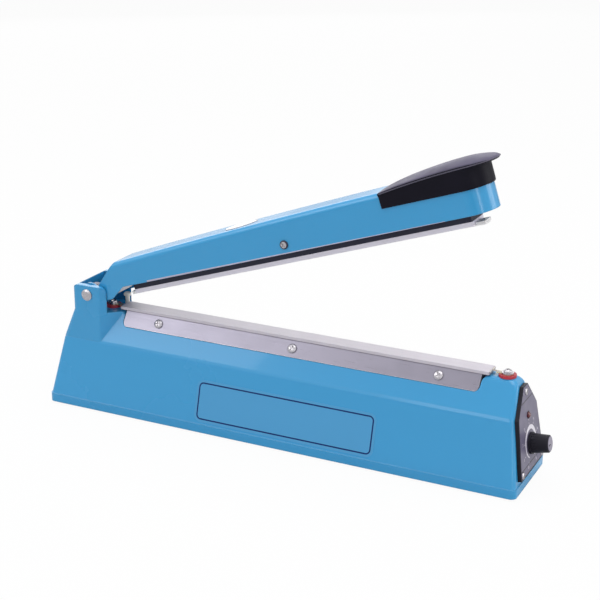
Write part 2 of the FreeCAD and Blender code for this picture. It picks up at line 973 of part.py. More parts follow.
# Floor plate, feet and screws

def floor_and_feet():
    plate = new_body("floor_sheet")
    gap = size.wall + size.floor_gap
    sketch = new_sketch(plate, "XY_Plane", size.floor_recess)
    rounded_rectangle(
        sketch, gap - half_length, half_length - gap, gap - half_width, half_width - gap,
        size.end_corner - size.wall / 2,
    )
    pad(plate, sketch, size.floor_thickness)
    holes = [cylinder("plate_hole", size.foot_bore, floor_top, x, y) for x, y in foot_places]
    for x in strap_screw_places:
        holes.append(cylinder("strap_hole", size.strap_screw_radius + size.seat_gap, floor_top, x))
    in_base(cut("bottom_plate", plate, holes), "bottom_plate")
    height = size.foot_drop + size.floor_recess
    feet = []
    screws = []
    for x, y in foot_places:
        foot = revolve("foot", [
            (size.foot_sink, 0),
            (size.foot_radius - 0.8, 0),
            (size.foot_radius, 0.8),
            (size.foot_radius, height),
            (size.foot_bore, height),
            (size.foot_bore, size.foot_sink_depth),
            (size.foot_sink, size.foot_sink_depth),
        ])
        feet.append(put(foot, x, y, -size.foot_drop))
        bolt = screw(
            "foot_bolt", size.foot_screw_head, size.foot_screw_head_height,
            size.foot_screw_radius, size.foot_screw_length,
        )
        screws.append(put(bolt, x, y, size.foot_sink_depth - size.foot_drop, "-z"))
    in_base(group("rubber_feet", feet), "rubber_feet")
    in_base(group("foot_screws", screws), "foot_screws")


# Hinge pin

def hinge_pin():
    pin = cylinder("pin", size.pin_radius, size.crease_width, hinge_x, -crease_half, hinge_z, "y")
    in_base(group("hinge_pin", [pin]), "hinge_pin")
    caps = []
    for side, along in ((1, "y"), (-1, "-y")):
        cap = revolve("pin_cap", [
            (0, 0),
            (size.pin_cap_radius, 0),
            (size.pin_cap_radius, size.pin_cap_height / 2),
            (size.pin_cap_radius * 0.7, size.pin_cap_height),
            (0, size.pin_cap_height),
        ])
        caps.append(put(cap, hinge_x, crease_half * side, hinge_z, along))
    in_base(group("hinge_pin_caps", caps), "hinge_pin_caps")


# Sealing bed: heat bar, tape, ribbon, cloth and clamp strips

strip_across = size.strip_thickness * face_stretch
cloth_across = size.cloth_thickness * face_stretch
bed_left = saddle_left + size.strip_gap * 2
bed_right = saddle_right - size.strip_gap * 2
lip_left = saddle_left - size.bed_overhang
lip_right = saddle_right + size.bed_overhang
neck_top = bed_top - size.bed_lip
neck_half = upper_face(strip_top) - strip_across - cloth_across
tape_top = bed_top + size.tape_thickness
ribbon_top = tape_top + size.ribbon_thickness
cloth_top = ribbon_top + size.cloth_thickness


def bar_face(height):
    return upper_face(height) - strip_across - cloth_across


def along_bed(body, left, right, points):
    sketch = new_sketch(body, "YZ_Plane", left)
    polygon(sketch, points)
    pad(body, sketch, formula(right) - left)


def strip_hole(side, x):
    hole = cylinder("strip_hole", size.strip_screw_radius + size.seat_gap, size.strip_screw_length * 2)
    lean_on_face(hole, side, x, strip_screw_height)
    lean = arctangent(face_slope)
    bind(hole, "Placement.Base.y", (upper_face(strip_screw_height)
                                    - size.strip_screw_length * cosine(lean)) * side)
    bind(hole, "Placement.Base.z", strip_screw_height - size.strip_screw_length * sine(lean))
    return hole


def heat_bar():
    body = new_body("bar_form")
    floor = saddle_height
    slot_top = floor + size.bed_slot_depth
    along_bed(body, bed_left, bed_right, [
        (-bar_face(floor), floor),
        (-size.bed_slot_half, floor),
        (-size.bed_slot_half, slot_top),
        (size.bed_slot_half, slot_top),
        (size.bed_slot_half, floor),
        (bar_face(floor), floor),
        (neck_half, strip_top),
        (-neck_half, strip_top),
    ])
    lip = size.bed_lip_half
    along_bed(body, lip_left, lip_right, [
        (-neck_half, strip_top),
        (neck_half, strip_top),
        (neck_half, neck_top),
        (lip, neck_top),
        (lip, bed_top),
        (-lip, bed_top),
        (-lip, neck_top),
        (-neck_half, neck_top),
    ])
    for corner, outward in ((bed_left, 1), (bed_right, -1)):
        bed_corner(body, corner, outward)
    holes = [strip_hole(side, x) for x in strip_screw_places for side in (1, -1)]
    in_base(cut("heat_bar", body, holes), "heat_bar")


def bed_corner(body, corner_x, inward):
    # Rounds a lower corner so that it clears the rounded end of the saddle
    radius = size.strip_corner
    low = saddle_height
    ends = [(corner_x + radius * inward, low), (corner_x, low + radius)]
    spare = size.strip_gap
    outer = [
        (corner_x - spare * inward, low + radius),
        (corner_x - spare * inward, low - spare),
        (corner_x + radius * inward, low - spare),
    ]
    sketch = new_sketch(body, "XZ_Plane")
    polygon(sketch, ends + outer, {0: radius * quarter_rise * inward})
    pocket(body, sketch, size.base_width, both_ways=True)


def ribbon_and_tape():
    tape = box("tape", lip_left, lip_right, -size.tape_half, size.tape_half, bed_top, tape_top)
    in_base(group("insulating_tape", [tape]), "insulating_tape")
    body = new_body("heating_ribbon")
    thick = size.ribbon_thickness
    lug_top = size.ridge_height + size.fibre_thickness + size.lug_thickness
    near = size.washer_radius + thick
    far = size.lug_reach - thick
    stops = [
        (terminal_left + near, lug_top),
        (terminal_left + far, lug_top),
        (lip_left, tape_top),
        (lip_right, tape_top),
        (terminal_right - far, lug_top),
        (terminal_right - near, lug_top),
    ]
    outline = stops + [(x, height + thick) for x, height in reversed(stops)]
    sketch = new_sketch(body, "XZ_Plane")
    polygon(sketch, outline)
    pad(body, sketch, size.ribbon_half * 2, both_ways=True)
    in_base(body, "heating_ribbon")


def ptfe_cloth():
    body = new_body("cloth_form")
    thick = size.cloth_thickness
    lip = size.bed_lip_half
    under = neck_top - thick
    along_bed(body, lip_left + thick * 2, lip_right - thick * 2, [
        (lip + thick, under),
        (lip + thick, cloth_top),
        (-lip - thick, cloth_top),
        (-lip - thick, under),
        (-neck_half, under),
        (-neck_half, neck_top),
        (-lip, neck_top),
        (-lip, ribbon_top),
        (lip, ribbon_top),
        (lip, neck_top),
        (neck_half, neck_top),
        (neck_half, under),
    ])
    hem = cloth_hem
    for side in (1, -1):
        along_bed(body, bed_left + size.strip_gap, bed_right - size.strip_gap, [
            (bar_face(hem) * side, hem),
            ((bar_face(hem) + cloth_across) * side, hem),
            ((neck_half + cloth_across) * side, strip_top),
            ((neck_half + cloth_across) * side, neck_top),
            (neck_half * side, neck_top),
            (neck_half * side, strip_top),
        ])
    holes = [strip_hole(side, x) for x in strip_screw_places for side in (1, -1)]
    in_base(cut("ptfe_cloth", body, holes), "ptfe_cloth")


def clamp_strip(label, side):
    body = new_body(f"{label}_form")
    low = saddle_height + size.strip_gap
    top = strip_top
    along_bed(body, bed_left, bed_right, [
        (upper_face(low) * side, low),
        (upper_face(top) * side, top),
        ((upper_face(top) - strip_across) * side, top),
        ((upper_face(low) - strip_across) * side, low),
    ])
    for corner, inward in ((bed_left, 1), (bed_right, -1)):
        bed_corner(body, corner, inward)
    holes = [strip_hole(side, x) for x in strip_screw_places]
    in_base(cut(label, body, holes), label)


def clamp_screws():
    screws = []
    for side in (1, -1):
        for x in strip_screw_places:
            bolt = screw(
                "strip_bolt", size.strip_screw_head, size.strip_screw_head_height,
                size.strip_screw_radius, size.strip_screw_length,
            )
            screws.append(lean_on_face(bolt, side, x, strip_screw_height))
    in_base(group("clamp_strip_screws", screws), "clamp_strip_screws")


def terminals():
    fibre = []
    lugs = []
    washers = []
    screws = []
    clear = size.terminal_radius + size.seat_gap
    fibre_top = size.ridge_height + size.fibre_thickness
    lug_top = fibre_top + size.lug_thickness
    washer_top = lug_top + size.washer_thickness
    for x, toward_bed in terminal_places:
        ring = [(clear, 0), (size.fibre_radius, 0), (size.fibre_radius, size.fibre_thickness)]
        fibre.append(put(revolve("fibre", ring + [(clear, size.fibre_thickness)]), x, 0, size.ridge_height))
        eye = cylinder("lug_eye", size.lug_radius, size.lug_thickness, x, 0, fibre_top)
        edges = sorted((x, x + size.lug_reach * toward_bed), key=lambda edge: edge.value)
        tongue = box("lug_tongue", *edges, -size.lug_half, size.lug_half, fibre_top, lug_top)
        hole = cylinder("lug_hole", clear, size.fibre_thickness * 2, x, 0, size.ridge_height)
        lugs.append(cut("lug", join("lug_form", [eye, tongue]), [hole]))
        ring = [(clear, 0), (size.washer_radius, 0), (size.washer_radius, size.washer_thickness)]
        washers.append(put(revolve("washer", ring + [(clear, size.washer_thickness)]), x, 0, lug_top))
        bolt = screw(
            "terminal_bolt", size.terminal_head, size.terminal_head_height,
            size.terminal_radius, size.terminal_length,
        )
        screws.append(put(bolt, x, 0, washer_top))
    in_base(group("fibre_washers", fibre), "fibre_washers")
    in_base(group("ribbon_lugs", lugs), "ribbon_lugs")
    in_base(group("terminal_washers", washers), "terminal_washers")
    in_base(group("terminal_screws", screws), "terminal_screws")


# Control panel, lamp, potentiometer and board

board_front = -wall_depth - size.pot_depth
board_back = board_front - size.board_thickness


def control_panel():
    body = new_body("panel_form")
    sketch = new_sketch(body, "YZ_Plane")
    polygon(sketch, [
        (-size.panel_bottom_half, size.panel_bottom),
        (size.panel_bottom_half, size.panel_bottom),
        (size.panel_shoulder_half, panel_shoulder),
        (size.panel_top_half, panel_top),
        (-size.panel_top_half, panel_top),
        (-size.panel_shoulder_half, panel_shoulder),
    ])
    pad(body, sketch, size.panel_thickness)
    fillet(body, size.panel_corner, lambda edge: edge.BoundBox.XLength > size.panel_thickness.value / 2)
    thick = size.panel_thickness * 2
    holes = [
        cylinder("panel_bush_hole", size.pot_bush_radius + size.seat_gap, thick, 0, 0, size.knob_height, "x"),
        cylinder("panel_lamp_hole", size.lamp_radius + size.seat_gap, thick, 0, 0, size.lamp_height, "x"),
    ]
    for across, height in panel_screw_places:
        radius = size.panel_screw_radius + size.seat_gap
        holes.append(cylinder("panel_screw_hole", radius, thick, 0, across, height, "x"))
    in_panel(cut("control_panel", body, holes), "control_panel")
    screws = []
    for across, height in panel_screw_places:
        bolt = screw(
            "panel_bolt", size.panel_screw_head, size.panel_screw_head_height,
            size.panel_screw_radius, size.panel_screw_length,
        )
        screws.append(put(bolt, size.panel_thickness, across, height, "x"))
    in_panel(group("panel_screws", screws), "panel_screws")


def indicator_lamp():
    front = size.panel_thickness + size.lamp_proud
    back = -wall_depth - size.lamp_depth / 3
    lens = revolve("lens", [
        (0, back),
        (size.lamp_flange, back),
        (size.lamp_flange, -wall_depth),
        (size.lamp_radius, -wall_depth),
        (size.lamp_radius, front - size.lamp_proud * 0.7),
        (size.lamp_radius * 0.8, front - size.lamp_proud * 0.25),
        (size.lamp_radius * 0.45, front),
        (0, front),
    ])
    put(lens, 0, 0, size.lamp_height, "x")
    legs = [
        cylinder("leg", size.lamp_leg_radius, back - board_front, board_front, 0,
                 size.lamp_height + size.lamp_leg_spacing / 2 * side, "x")
        for side in (1, -1)
    ]
    in_panel(join("indicator_lamp", [lens] + legs), "indicator_lamp")


def potentiometer():
    bush_front = size.panel_thickness + size.pot_bush_proud
    can = cylinder("pot_can", size.pot_radius, size.pot_depth, board_front, 0, size.knob_height, "x")
    bush = cylinder(
        "pot_bush", size.pot_bush_radius, bush_front + wall_depth, -wall_depth, 0, size.knob_height, "x",
    )
    bore = cylinder(
        "pot_bore", size.shaft_radius + size.running_gap, bush_front - board_front,
        board_front + size.deck, 0, size.knob_height, "x",
    )
    in_panel(cut("potentiometer", join("pot_form", [can, bush]), [bore]), "potentiometer")
    nut = document.addObject("Part::Prism", "pot_hex")
    nut.Polygon = 6
    bind(nut, "Circumradius", size.pot_nut_radius)
    bind(nut, "Height", size.pot_nut_height)
    put(nut, size.panel_thickness, 0, size.knob_height, "x")
    hole = cylinder(
        "nut_hole", size.pot_bush_radius + size.seat_gap, bush_front * 2, 0, 0, size.knob_height, "x",
    )
    in_panel(cut("panel_nut", nut, [hole]), "panel_nut")


def timer_board():
    board = box(
        "board", board_back, board_front, -size.board_half, size.board_half, size.board_bottom, size.board_top,
    )
    in_panel(group("timer_board", [board]), "timer_board")
    low = size.board_bottom + size.deck
    relay = box(
        "relay", board_back - size.relay_height, board_back, -size.relay_width / 2, size.relay_width / 2,
        low, low + size.relay_length,
    )
    cap_height = size.board_top - size.capacitor_radius - size.deck
    cans = [
        cylinder("capacitor", size.capacitor_radius, size.capacitor_height,
                 board_back, (size.capacitor_radius + size.deck / 2) * side, cap_height, "-x")
        for side in (1, -1)
    ]
    in_panel(group("board_components", [relay] + cans), "board_components")


def timer_knob():
    seat = size.panel_thickness + size.knob_gap
    shaft_top = size.shaft_reach
    bore = size.shaft_radius + size.seat_gap
    end = size.knob_length
    form = revolve("knob_form", [
        (size.knob_recess_radius, 0),
        (size.knob_skirt, 0),
        (size.knob_skirt, size.knob_skirt_height),
        (size.knob_base_radius, size.knob_skirt_height),
        (size.knob_tip_radius, end - 0.8),
        (size.knob_tip_radius - 0.8, end),
        (size.cap_radius, end),
        (size.cap_radius, end - size.cap_sink),
        (0, end - size.cap_sink),
        (0, shaft_top - seat),
        (bore, shaft_top - seat),
        (bore, size.knob_recess_depth),
        (size.knob_recess_radius, size.knob_recess_depth),
    ])
    flutes = []
    count = round(size.knob_flutes.value)
    for index in range(count):
        angle = formula(360 * (index + 0.5) / count)
        flutes.append(cylinder(
            "flute", size.knob_flute_radius, end,
            size.knob_base_radius * cosine(angle), size.knob_base_radius * sine(angle),
            size.knob_skirt_height,
        ))
    knob = cut("timer_knob", form, flutes)
    on_panel(knob, seat, "timer_knob")
    sink = size.cap_sink
    cap = revolve("knob_cap", [
        (0, -sink),
        (size.cap_radius, -sink),
        (size.cap_radius, size.cap_proud * 0.4),
        (size.cap_crown, size.cap_proud),
        (0, size.cap_proud),
    ])
    on_panel(cap, seat + end, "knob_cap")
    shaft_back = board_front + size.deck + size.running_gap
    shaft = revolve("shaft", [
        (0, 0),
        (size.shaft_radius, 0),
        (size.shaft_radius, shaft_top - shaft_back),
        (0, shaft_top - shaft_back),
    ])
    on_panel(shaft, shaft_back, "potentiometer_shaft")


def on_panel(thing, along, label):
    stand_on_end(thing, formula(along), 0, size.knob_height)
    bind(thing, "Placement.Base.x", base_x + panel_x + formula(along) * cosine(size.end_lean)
         - size.knob_height * sine(size.end_lean))
    bind(thing, "Placement.Base.z", size.foot_drop + formula(along) * sine(size.end_lean)
         + size.knob_height * cosine(size.end_lean))
    return subpart(thing, label)


# Transformer

core_half = size.core_length / 2
strap_outer = core_half + size.strap_thickness
strap_screw_places = [
    size.core_x + (strap_outer + size.strap_foot / 2) * side for side in (1, -1)
]


def transformer():
    limb = size.core_limb
    low = floor_top
    high = floor_top + size.core_height
    half_y = size.core_width / 2
    block = box("core_block", size.core_x - core_half, size.core_x + core_half, -half_y, half_y, low, high)
    windows = []
    for left in (size.core_x - core_half + limb, size.core_x + limb):
        windows.append(box(
            "window", left, left + core_half - limb * 2, -size.core_width, size.core_width,
            low + limb, high - limb,
        ))
    in_base(cut("transformer_core", block, windows), "transformer_core")
    reach = core_half - limb - size.coil_margin
    wide = half_y + size.coil_build
    bottom = low + limb + size.coil_margin
    top = high - limb - size.coil_margin
    winding = box("winding", size.core_x - reach, size.core_x + reach, -wide, wide, bottom, top)
    middle = box("limb", size.core_x - limb, size.core_x + limb, -half_y, half_y, low, high)
    in_base(cut("transformer_coil", winding, [middle]), "transformer_coil")
    body = new_body("strap_form")
    sketch = new_sketch(body, "XZ_Plane")
    thick = size.strap_thickness
    foot = strap_outer + size.strap_foot
    right = [
        (foot, low),
        (foot, low + thick),
        (strap_outer, low + thick),
        (strap_outer, high + thick),
    ]
    left = [(-x, height) for x, height in reversed(right)]
    inner = [(-core_half, low), (-core_half, high), (core_half, high), (core_half, low)]
    polygon(sketch, [(size.core_x + x, height) for x, height in right + left + inner])
    pad(body, sketch, size.strap_width, both_ways=True)
    holes = []
    screws = []
    for x in strap_screw_places:
        holes.append(cylinder("strap_hole", size.strap_screw_radius + size.seat_gap, thick * 4, x, 0, 0))
        bolt = screw(
            "strap_bolt", size.strap_screw_head, size.strap_screw_head_height,
            size.strap_screw_radius, thick + size.floor_thickness + size.floor_recess / 2,
        )
        screws.append(put(bolt, x, 0, low + thick))
    in_base(cut("transformer_bracket", body, holes), "transformer_bracket")
    in_base(group("bracket_screws", screws), "bracket_screws")


# Micro-switch and plunger

def micro_switch():
    x = plunger_x
    y = size.plunger_y
    top = size.switch_top
    low = top - size.switch_height
    half_x = size.switch_length / 2
    half_y = size.switch_width / 2
    case = box("switch_case", x - half_x, x + half_x, y - half_y, y + half_y, low, top)
    tabs = [
        box("tab", x + size.switch_lead * step - 2, x + size.switch_lead * step + 2,
            y - 0.4, y + 0.4, low - 6, low + 1)
        for step in (-1, 0, 1)
    ]
    well_radius = size.plunger_radius + size.strip_gap
    well = cylinder("well", well_radius, size.plunger_travel * 3, x, y, top - size.plunger_travel * 2)
    in_base(cut("micro_switch", join("switch_form", [case] + tabs), [well]), "micro_switch")
    foot = top + size.striker_gap
    button = plunger_top - size.plunger_button_height
    plunger = revolve("plunger_form", [
        (0, foot),
        (size.plunger_radius, foot),
        (size.plunger_radius, button),
        (size.plunger_button_radius, button),
        (size.plunger_button_radius, plunger_top - 0.8),
        (size.plunger_button_radius - 0.8, plunger_top),
        (0, plunger_top),
    ])
    put(plunger, x, y)
    in_base(group("switch_plunger", [plunger]), "switch_plunger")


def cord_inlet():
    dimple = size.inlet_flange_height / 2
    grommet = revolve("grommet", [
        (0, -size.wall * 2.5),
        (size.inlet_neck + 1, -size.wall * 2.5),
        (size.inlet_neck + 1, -wall_depth),
        (size.inlet_neck, -wall_depth),
        (size.inlet_neck, 0),
        (size.inlet_flange, 0),
        (size.inlet_flange, size.inlet_flange_height / 2),
        (size.inlet_flange - 1, size.inlet_flange_height),
        (size.inlet_bore, size.inlet_flange_height),
        (size.inlet_bore, size.inlet_flange_height - dimple),
        (0, size.inlet_flange_height - dimple),
    ])
    stand_on_rear(grommet, size.inlet_height)
    in_base(group("cord_grommet", [grommet]), "cord_grommet")


# Arm, in its own frame: along the arm from the hinge, across, and up

inner_half = arm_half - size.arm_wall
back_slope = (size.arm_rear_top - size.cheek_back_top) / (size.arm_rear - size.cheek_back)
back_drop = size.arm_wall * root(back_slope * back_slope + 1)


arm_top_arcs = 8


def arm_top(part):
    # Height of the bowed top face, at a share of its length
    straight = size.arm_rear_top + (size.arm_end_top - size.arm_rear_top) * part
    return straight + size.arm_bow * 4 * part * (1 - part)


def arm_top_at(reach):
    return arm_top((reach - size.arm_rear) / (size.arm_reach - size.arm_rear))


def round_end(body, reach, radius):
    # Half-round free end in plan
    centre = reach - radius
    spare = radius / 4
    for side in (1, -1):
        sketch = new_sketch(body, "XY_Plane")
        polygon(sketch, [
            (centre, radius * side),
            (reach, 0),
            (reach + spare, 0),
            (reach + spare, (radius + spare) * side),
            (centre, (radius + spare) * side),
        ], {0: radius * quarter_rise * side})
        pocket(body, sketch, size.arm_width * 4, both_ways=True)


def arm_form(name, grow):
    # Solid outer form of the arm, or one larger all round
    body = new_body(name)
    sketch = new_sketch(body, "XZ_Plane")
    reach = size.arm_reach + grow
    points = [(size.cheek_back, size.cheek_back_top + grow)]
    for step in range(arm_top_arcs + 1):
        part = step / arm_top_arcs
        points.append((size.arm_rear + (reach - size.arm_rear) * part, arm_top(part) + grow))
    points += [
        (reach, size.arm_bottom),
        (size.cheek_foot, size.arm_bottom),
        (size.cheek_front, -size.cheek_radius),
        (0, -size.cheek_radius),
    ]
    arc_bow = size.arm_bow / arm_top_arcs ** 2
    polygon(sketch, points, {step: arc_bow for step in range(1, arm_top_arcs + 1)})
    pad(body, sketch, (arm_half + grow) * 2, both_ways=True)
    round_end(body, reach, arm_half + grow)
    fillet(body, size.arm_edge, top_edge)
    cheek = new_sketch(body, "XZ_Plane")
    circle(cheek, 0, 0, size.cheek_radius)
    pad(body, cheek, (arm_half + grow) * 2, both_ways=True)
    return body


def top_edge(edge):
    # The outline of the top face: two long edges and the round end
    box = edge.BoundBox
    return box.ZMin > size.arm_rear_top.value - 0.01 and box.XLength > size.arm_edge.value


def arm_space():
    body = new_body("arm_space")
    wall = size.arm_wall
    clear = size.cheek_radius + size.deck
    back = size.cheek_back + size.arm_wall
    front = size.arm_rear + wall / 3
    reach = size.arm_reach - wall

    def inner_back(u):
        return size.cheek_back_top + (u - size.cheek_back) * back_slope - back_drop

    sketch = new_sketch(body, "XZ_Plane")
    polygon(sketch, [
        (-clear, -clear),
        (-clear, clear),
        (back, clear),
        (back, inner_back(back)),
        (front, inner_back(front)),
        (reach, size.arm_end_top - wall),
        (reach, -clear),
    ], {4: size.arm_bow})
    pad(body, sketch, inner_half * 2, both_ways=True)
    round_end(body, reach, inner_half)
    return body


grip_screw_places = [
    grip_rear + size.grip_screw_inset + size.grip_screw_spacing * step for step in (0, 1)
]
rock_hole = size.rock_radius + size.seat_gap


def arm_channel():
    wide = size.arm_width
    holes = [
        arm_space(),
        cylinder("pin_bore", size.pin_radius + size.running_gap, wide * 2, 0, -wide, 0, "y"),
        cylinder("rock_bore", rock_hole, wide * 2, size.rock_u, -wide, size.rock_v, "y"),
    ]
    for u in grip_screw_places:
        holes.append(cylinder(
            "grip_bore", size.grip_screw_radius + size.seat_gap, size.arm_rear, u, 0,
            arm_top_at(u) - size.arm_rear / 2,
        ))
    in_arm(cut("arm_channel", arm_form("arm_outer", formula(0)), holes), "arm_channel")


def arm_fittings():
    tube = cylinder("bush_tube", size.bush_radius, inner_half * 2, 0, -inner_half, 0, "y")
    bore = cylinder(
        "bush_bore", size.pin_radius + size.running_gap, inner_half * 4, 0, -inner_half * 2, 0, "y",
    )
    in_arm(cut("hinge_bush", tube, [bore]), "hinge_bush")
    low = plunger_top - size.plunger_travel + size.striker_gap - hinge_z
    middle = plunger_x - hinge_x
    striker = box(
        "striker", middle - size.striker_width / 2, middle + size.striker_width / 2,
        -inner_half, inner_half, low, low + size.striker_height,
    )
    in_arm(group("striker_bar", [striker]), "striker_bar")
    bolt = screw("rock_bolt", size.rock_head, size.rock_head_height, size.rock_radius,
                 size.arm_width + size.rock_nut_height)
    put(bolt, size.rock_u, -arm_half, size.rock_v, "-y")
    in_arm(group("bar_pivot_screw", [bolt]), "bar_pivot_screw")
    nut = document.addObject("Part::Prism", "rock_hex")
    nut.Polygon = 6
    bind(nut, "Circumradius", size.rock_nut_width / 2)
    bind(nut, "Height", size.rock_nut_height)
    put(nut, size.rock_u, arm_half, size.rock_v, "y")
    wide = size.arm_width
    hole = cylinder("rock_nut_bore", rock_hole, wide, size.rock_u, 0, size.rock_v, "y")
    in_arm(cut("pivot_nut", nut, [hole]), "pivot_nut")


# Moulded grip

def grip_section(body, u, low, edge, crest):
    sketch = new_sketch(body, "YZ_Plane", u)
    half = arm_half + size.grip_wall + size.grip_lip
    polygon(sketch, [(half, low), (-half, low), (-half, edge), (half, edge)], {2: crest - edge})
    return sketch


def grip():
    body = new_body("grip_pad")
    length = grip_tip - grip_rear
    crests = [
        size.grip_crest_rear, size.grip_crest_early, size.grip_crest_mid,
        size.grip_crest_high, size.grip_crest_tip,
    ]
    sections = []
    for step, rise in enumerate(crests):
        crest = size.arm_end_top + rise
        part = step / (len(crests) - 1)
        low = grip_edge_rear + (grip_edge_front - grip_edge_rear) * (part * (2 - part))
        edge = low + size.grip_edge_height
        if step == 0:
            edge = crest - size.grip_edge_height / 4
        sections.append(grip_section(body, grip_rear + length * part, low, edge, crest))
    loft(body, sections, smooth=True)
    half = arm_half + size.grip_wall + size.grip_lip
    round_end(body, grip_tip, half)
    skirt = new_body("grip_skirt_form")
    sketch = new_sketch(skirt, "XZ_Plane")
    reach = size.arm_reach + size.grip_wall
    half = arm_half + size.grip_wall
    rise = (grip_edge_front - grip_edge_rear) * (reach - grip_rear) / length
    skirt_top = grip_edge_rear + size.grip_skirt_overlap
    polygon(sketch, [
        (grip_rear, grip_skirt),
        (reach, grip_skirt),
        (reach, skirt_top + rise),
        (grip_rear, skirt_top),
    ])
    pad(skirt, sketch, half * 2, both_ways=True)
    round_end(skirt, reach, half)
    form = join("grip_form", [body, skirt])
    tools = [arm_form("arm_grown", size.grip_gap)]
    screws = []
    for u in grip_screw_places:
        seat = arm_top_at(u) - size.arm_wall - size.running_gap
        length = size.arm_wall + size.grip_screw_reach
        tools.append(cylinder(
            "grip_hole", size.grip_screw_radius + size.seat_gap, length + size.running_gap, u, 0, seat,
        ))
        bolt = screw(
            "grip_bolt", size.grip_screw_head, size.grip_screw_head_height, size.grip_screw_radius, length,
        )
        screws.append(put(bolt, u, 0, seat, "-z"))
    in_arm(cut("handle_grip", form, tools), "handle_grip")
    in_arm(group("handle_screws", screws), "handle_screws")


# Pressure bar

def pressure_bar():
    rear = size.rock_u - size.bar_half_length
    front = size.rock_u + size.bar_half_length
    half = size.holder_width / 2
    rail = box("rail", rear, front, -half, half, size.holder_bottom, size.holder_top)
    lug_half = size.lug_block_length / 2
    lug = box(
        "rock_lug", size.rock_u - lug_half, size.rock_u + lug_half,
        -size.lug_block_width / 2, size.lug_block_width / 2, size.holder_bottom, size.lug_block_top,
    )
    wide = size.arm_width
    bore = cylinder(
        "lug_bore", size.rock_radius + size.running_gap, wide * 2, size.rock_u, -wide, size.rock_v, "y",
    )
    in_arm(cut("bar_holder", join("holder_form", [rail, lug]), [bore]), "bar_holder")
    half = size.bar_width / 2
    bar = box("bar_block", rear, front, -half, half, size.bar_bottom, size.holder_bottom)
    groove = box(
        "groove", rear - wide, front + wide, -size.silicone_half, size.silicone_half,
        size.bar_bottom - wide, size.groove_top,
    )
    in_arm(cut("pressure_bar", bar, [groove]), "pressure_bar")
    over = size.silicone_overhang
    strip = box(
        "strip", rear - over, front + over, -size.silicone_half, size.silicone_half,
        size.silicone_bottom, size.groove_top,
    )
    in_arm(group("silicone_strip", [strip]), "silicone_strip")


# Return springs: base leg, coils about the hinge, arm leg

def spring_path(side):
    coil = size.spring_coil.value
    start = size.spring_start.value
    pitch = size.spring_pitch.value
    lift = math.radians(size.arm_open.value)
    leg_u = size.arm_rear.value - size.spring_anchor.value
    back = size.cheek_back_top.value + (leg_u - size.cheek_back.value) * back_slope.value
    leg_v = back - back_drop.value - size.spring_wire.value * 1.8
    tip_x = leg_u * math.cos(lift) - leg_v * math.sin(lift)
    tip_z = leg_u * math.sin(lift) + leg_v * math.cos(lift)
    distance = math.hypot(tip_x, tip_z)
    leave = math.atan2(tip_z, tip_x) - math.acos(coil / distance)
    total = leave + 2 * math.pi * round(size.spring_turns.value)
    count = math.ceil(total / (math.pi / 2))

    def at(turned):
        along = start + pitch * turned / (2 * math.pi)
        return Vector(coil * math.cos(turned), along * side, coil * math.sin(turned))

    foot = Vector(coil, start * side, size.ridge_height.value - hinge_z.value - size.spring_anchor.value)
    edges = [Part.makeLine(foot, at(0))]
    for index in range(count):
        first = total * index / count
        last = total * (index + 1) / count
        edges.append(Part.Arc(at(first), at((first + last) / 2), at(last)).toShape())
    end = at(total)
    edges.append(Part.makeLine(end, Vector(tip_x, end.y, tip_z)))
    return edges


def least_gap(edges):
    # Least free space between neighbouring coils
    gap = min(
        first.distToShape(second)[0]
        for index, first in enumerate(edges)
        for second in edges[index + 3:]
    )
    return gap - 2 * size.spring_wire.value


def return_spring():
    coils = []
    for side in (1, -1):
        edges = spring_path(side)
        print("spring gap", round(least_gap(edges), 3))
        path = Part.Wire(edges)
        ring = Part.Circle(path.Vertexes[0].Point, Vector(0, 0, 1), size.spring_wire.value).toShape()
        coils.append(path.makePipeShell([Part.Wire(ring)], True, False))
    thing = document.addObject("Part::Feature", "return_spring")
    thing.Shape = Part.makeCompound(coils)
    bind(thing, "Placement.Base.x", base_x + hinge_x)
    bind(thing, "Placement.Base.z", size.foot_drop + hinge_z)
    subpart(thing, "return_spring")


builders = [
    base_shell, floor_and_feet, hinge_pin, heat_bar, ribbon_and_tape, ptfe_cloth, clamp_screws, terminals,
    control_panel, indicator_lamp, potentiometer, timer_board, timer_knob, transformer, micro_switch,
    cord_inlet, arm_channel, arm_fittings, grip, pressure_bar, return_spring,
]
for build in builders:
    build()
for strip_label, strip_side in (("front_clamp_strip", -1), ("rear_clamp_strip", 1)):
    clamp_strip(strip_label, strip_side)
document.recompute()

# Every object has to be sound before anything is written

for thing in document.Objects:
    if "Invalid" in thing.State or "Error" in thing.State:
        raise RuntimeError(f"{thing.Name} did not compute")
for thing in subparts:
    if thing.Shape.isNull() or not thing.Shape.isValid():
        raise RuntimeError(f"{thing.Label} has no sound shape")
os.makedirs("parts", exist_ok=True)
for thing in subparts:
    thing.Shape.exportStep(f"parts/{thing.Label}.step")
print(len(subparts), "sub-parts written")
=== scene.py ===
import math

import bmesh
import bpy
from mathutils import Matrix, Vector


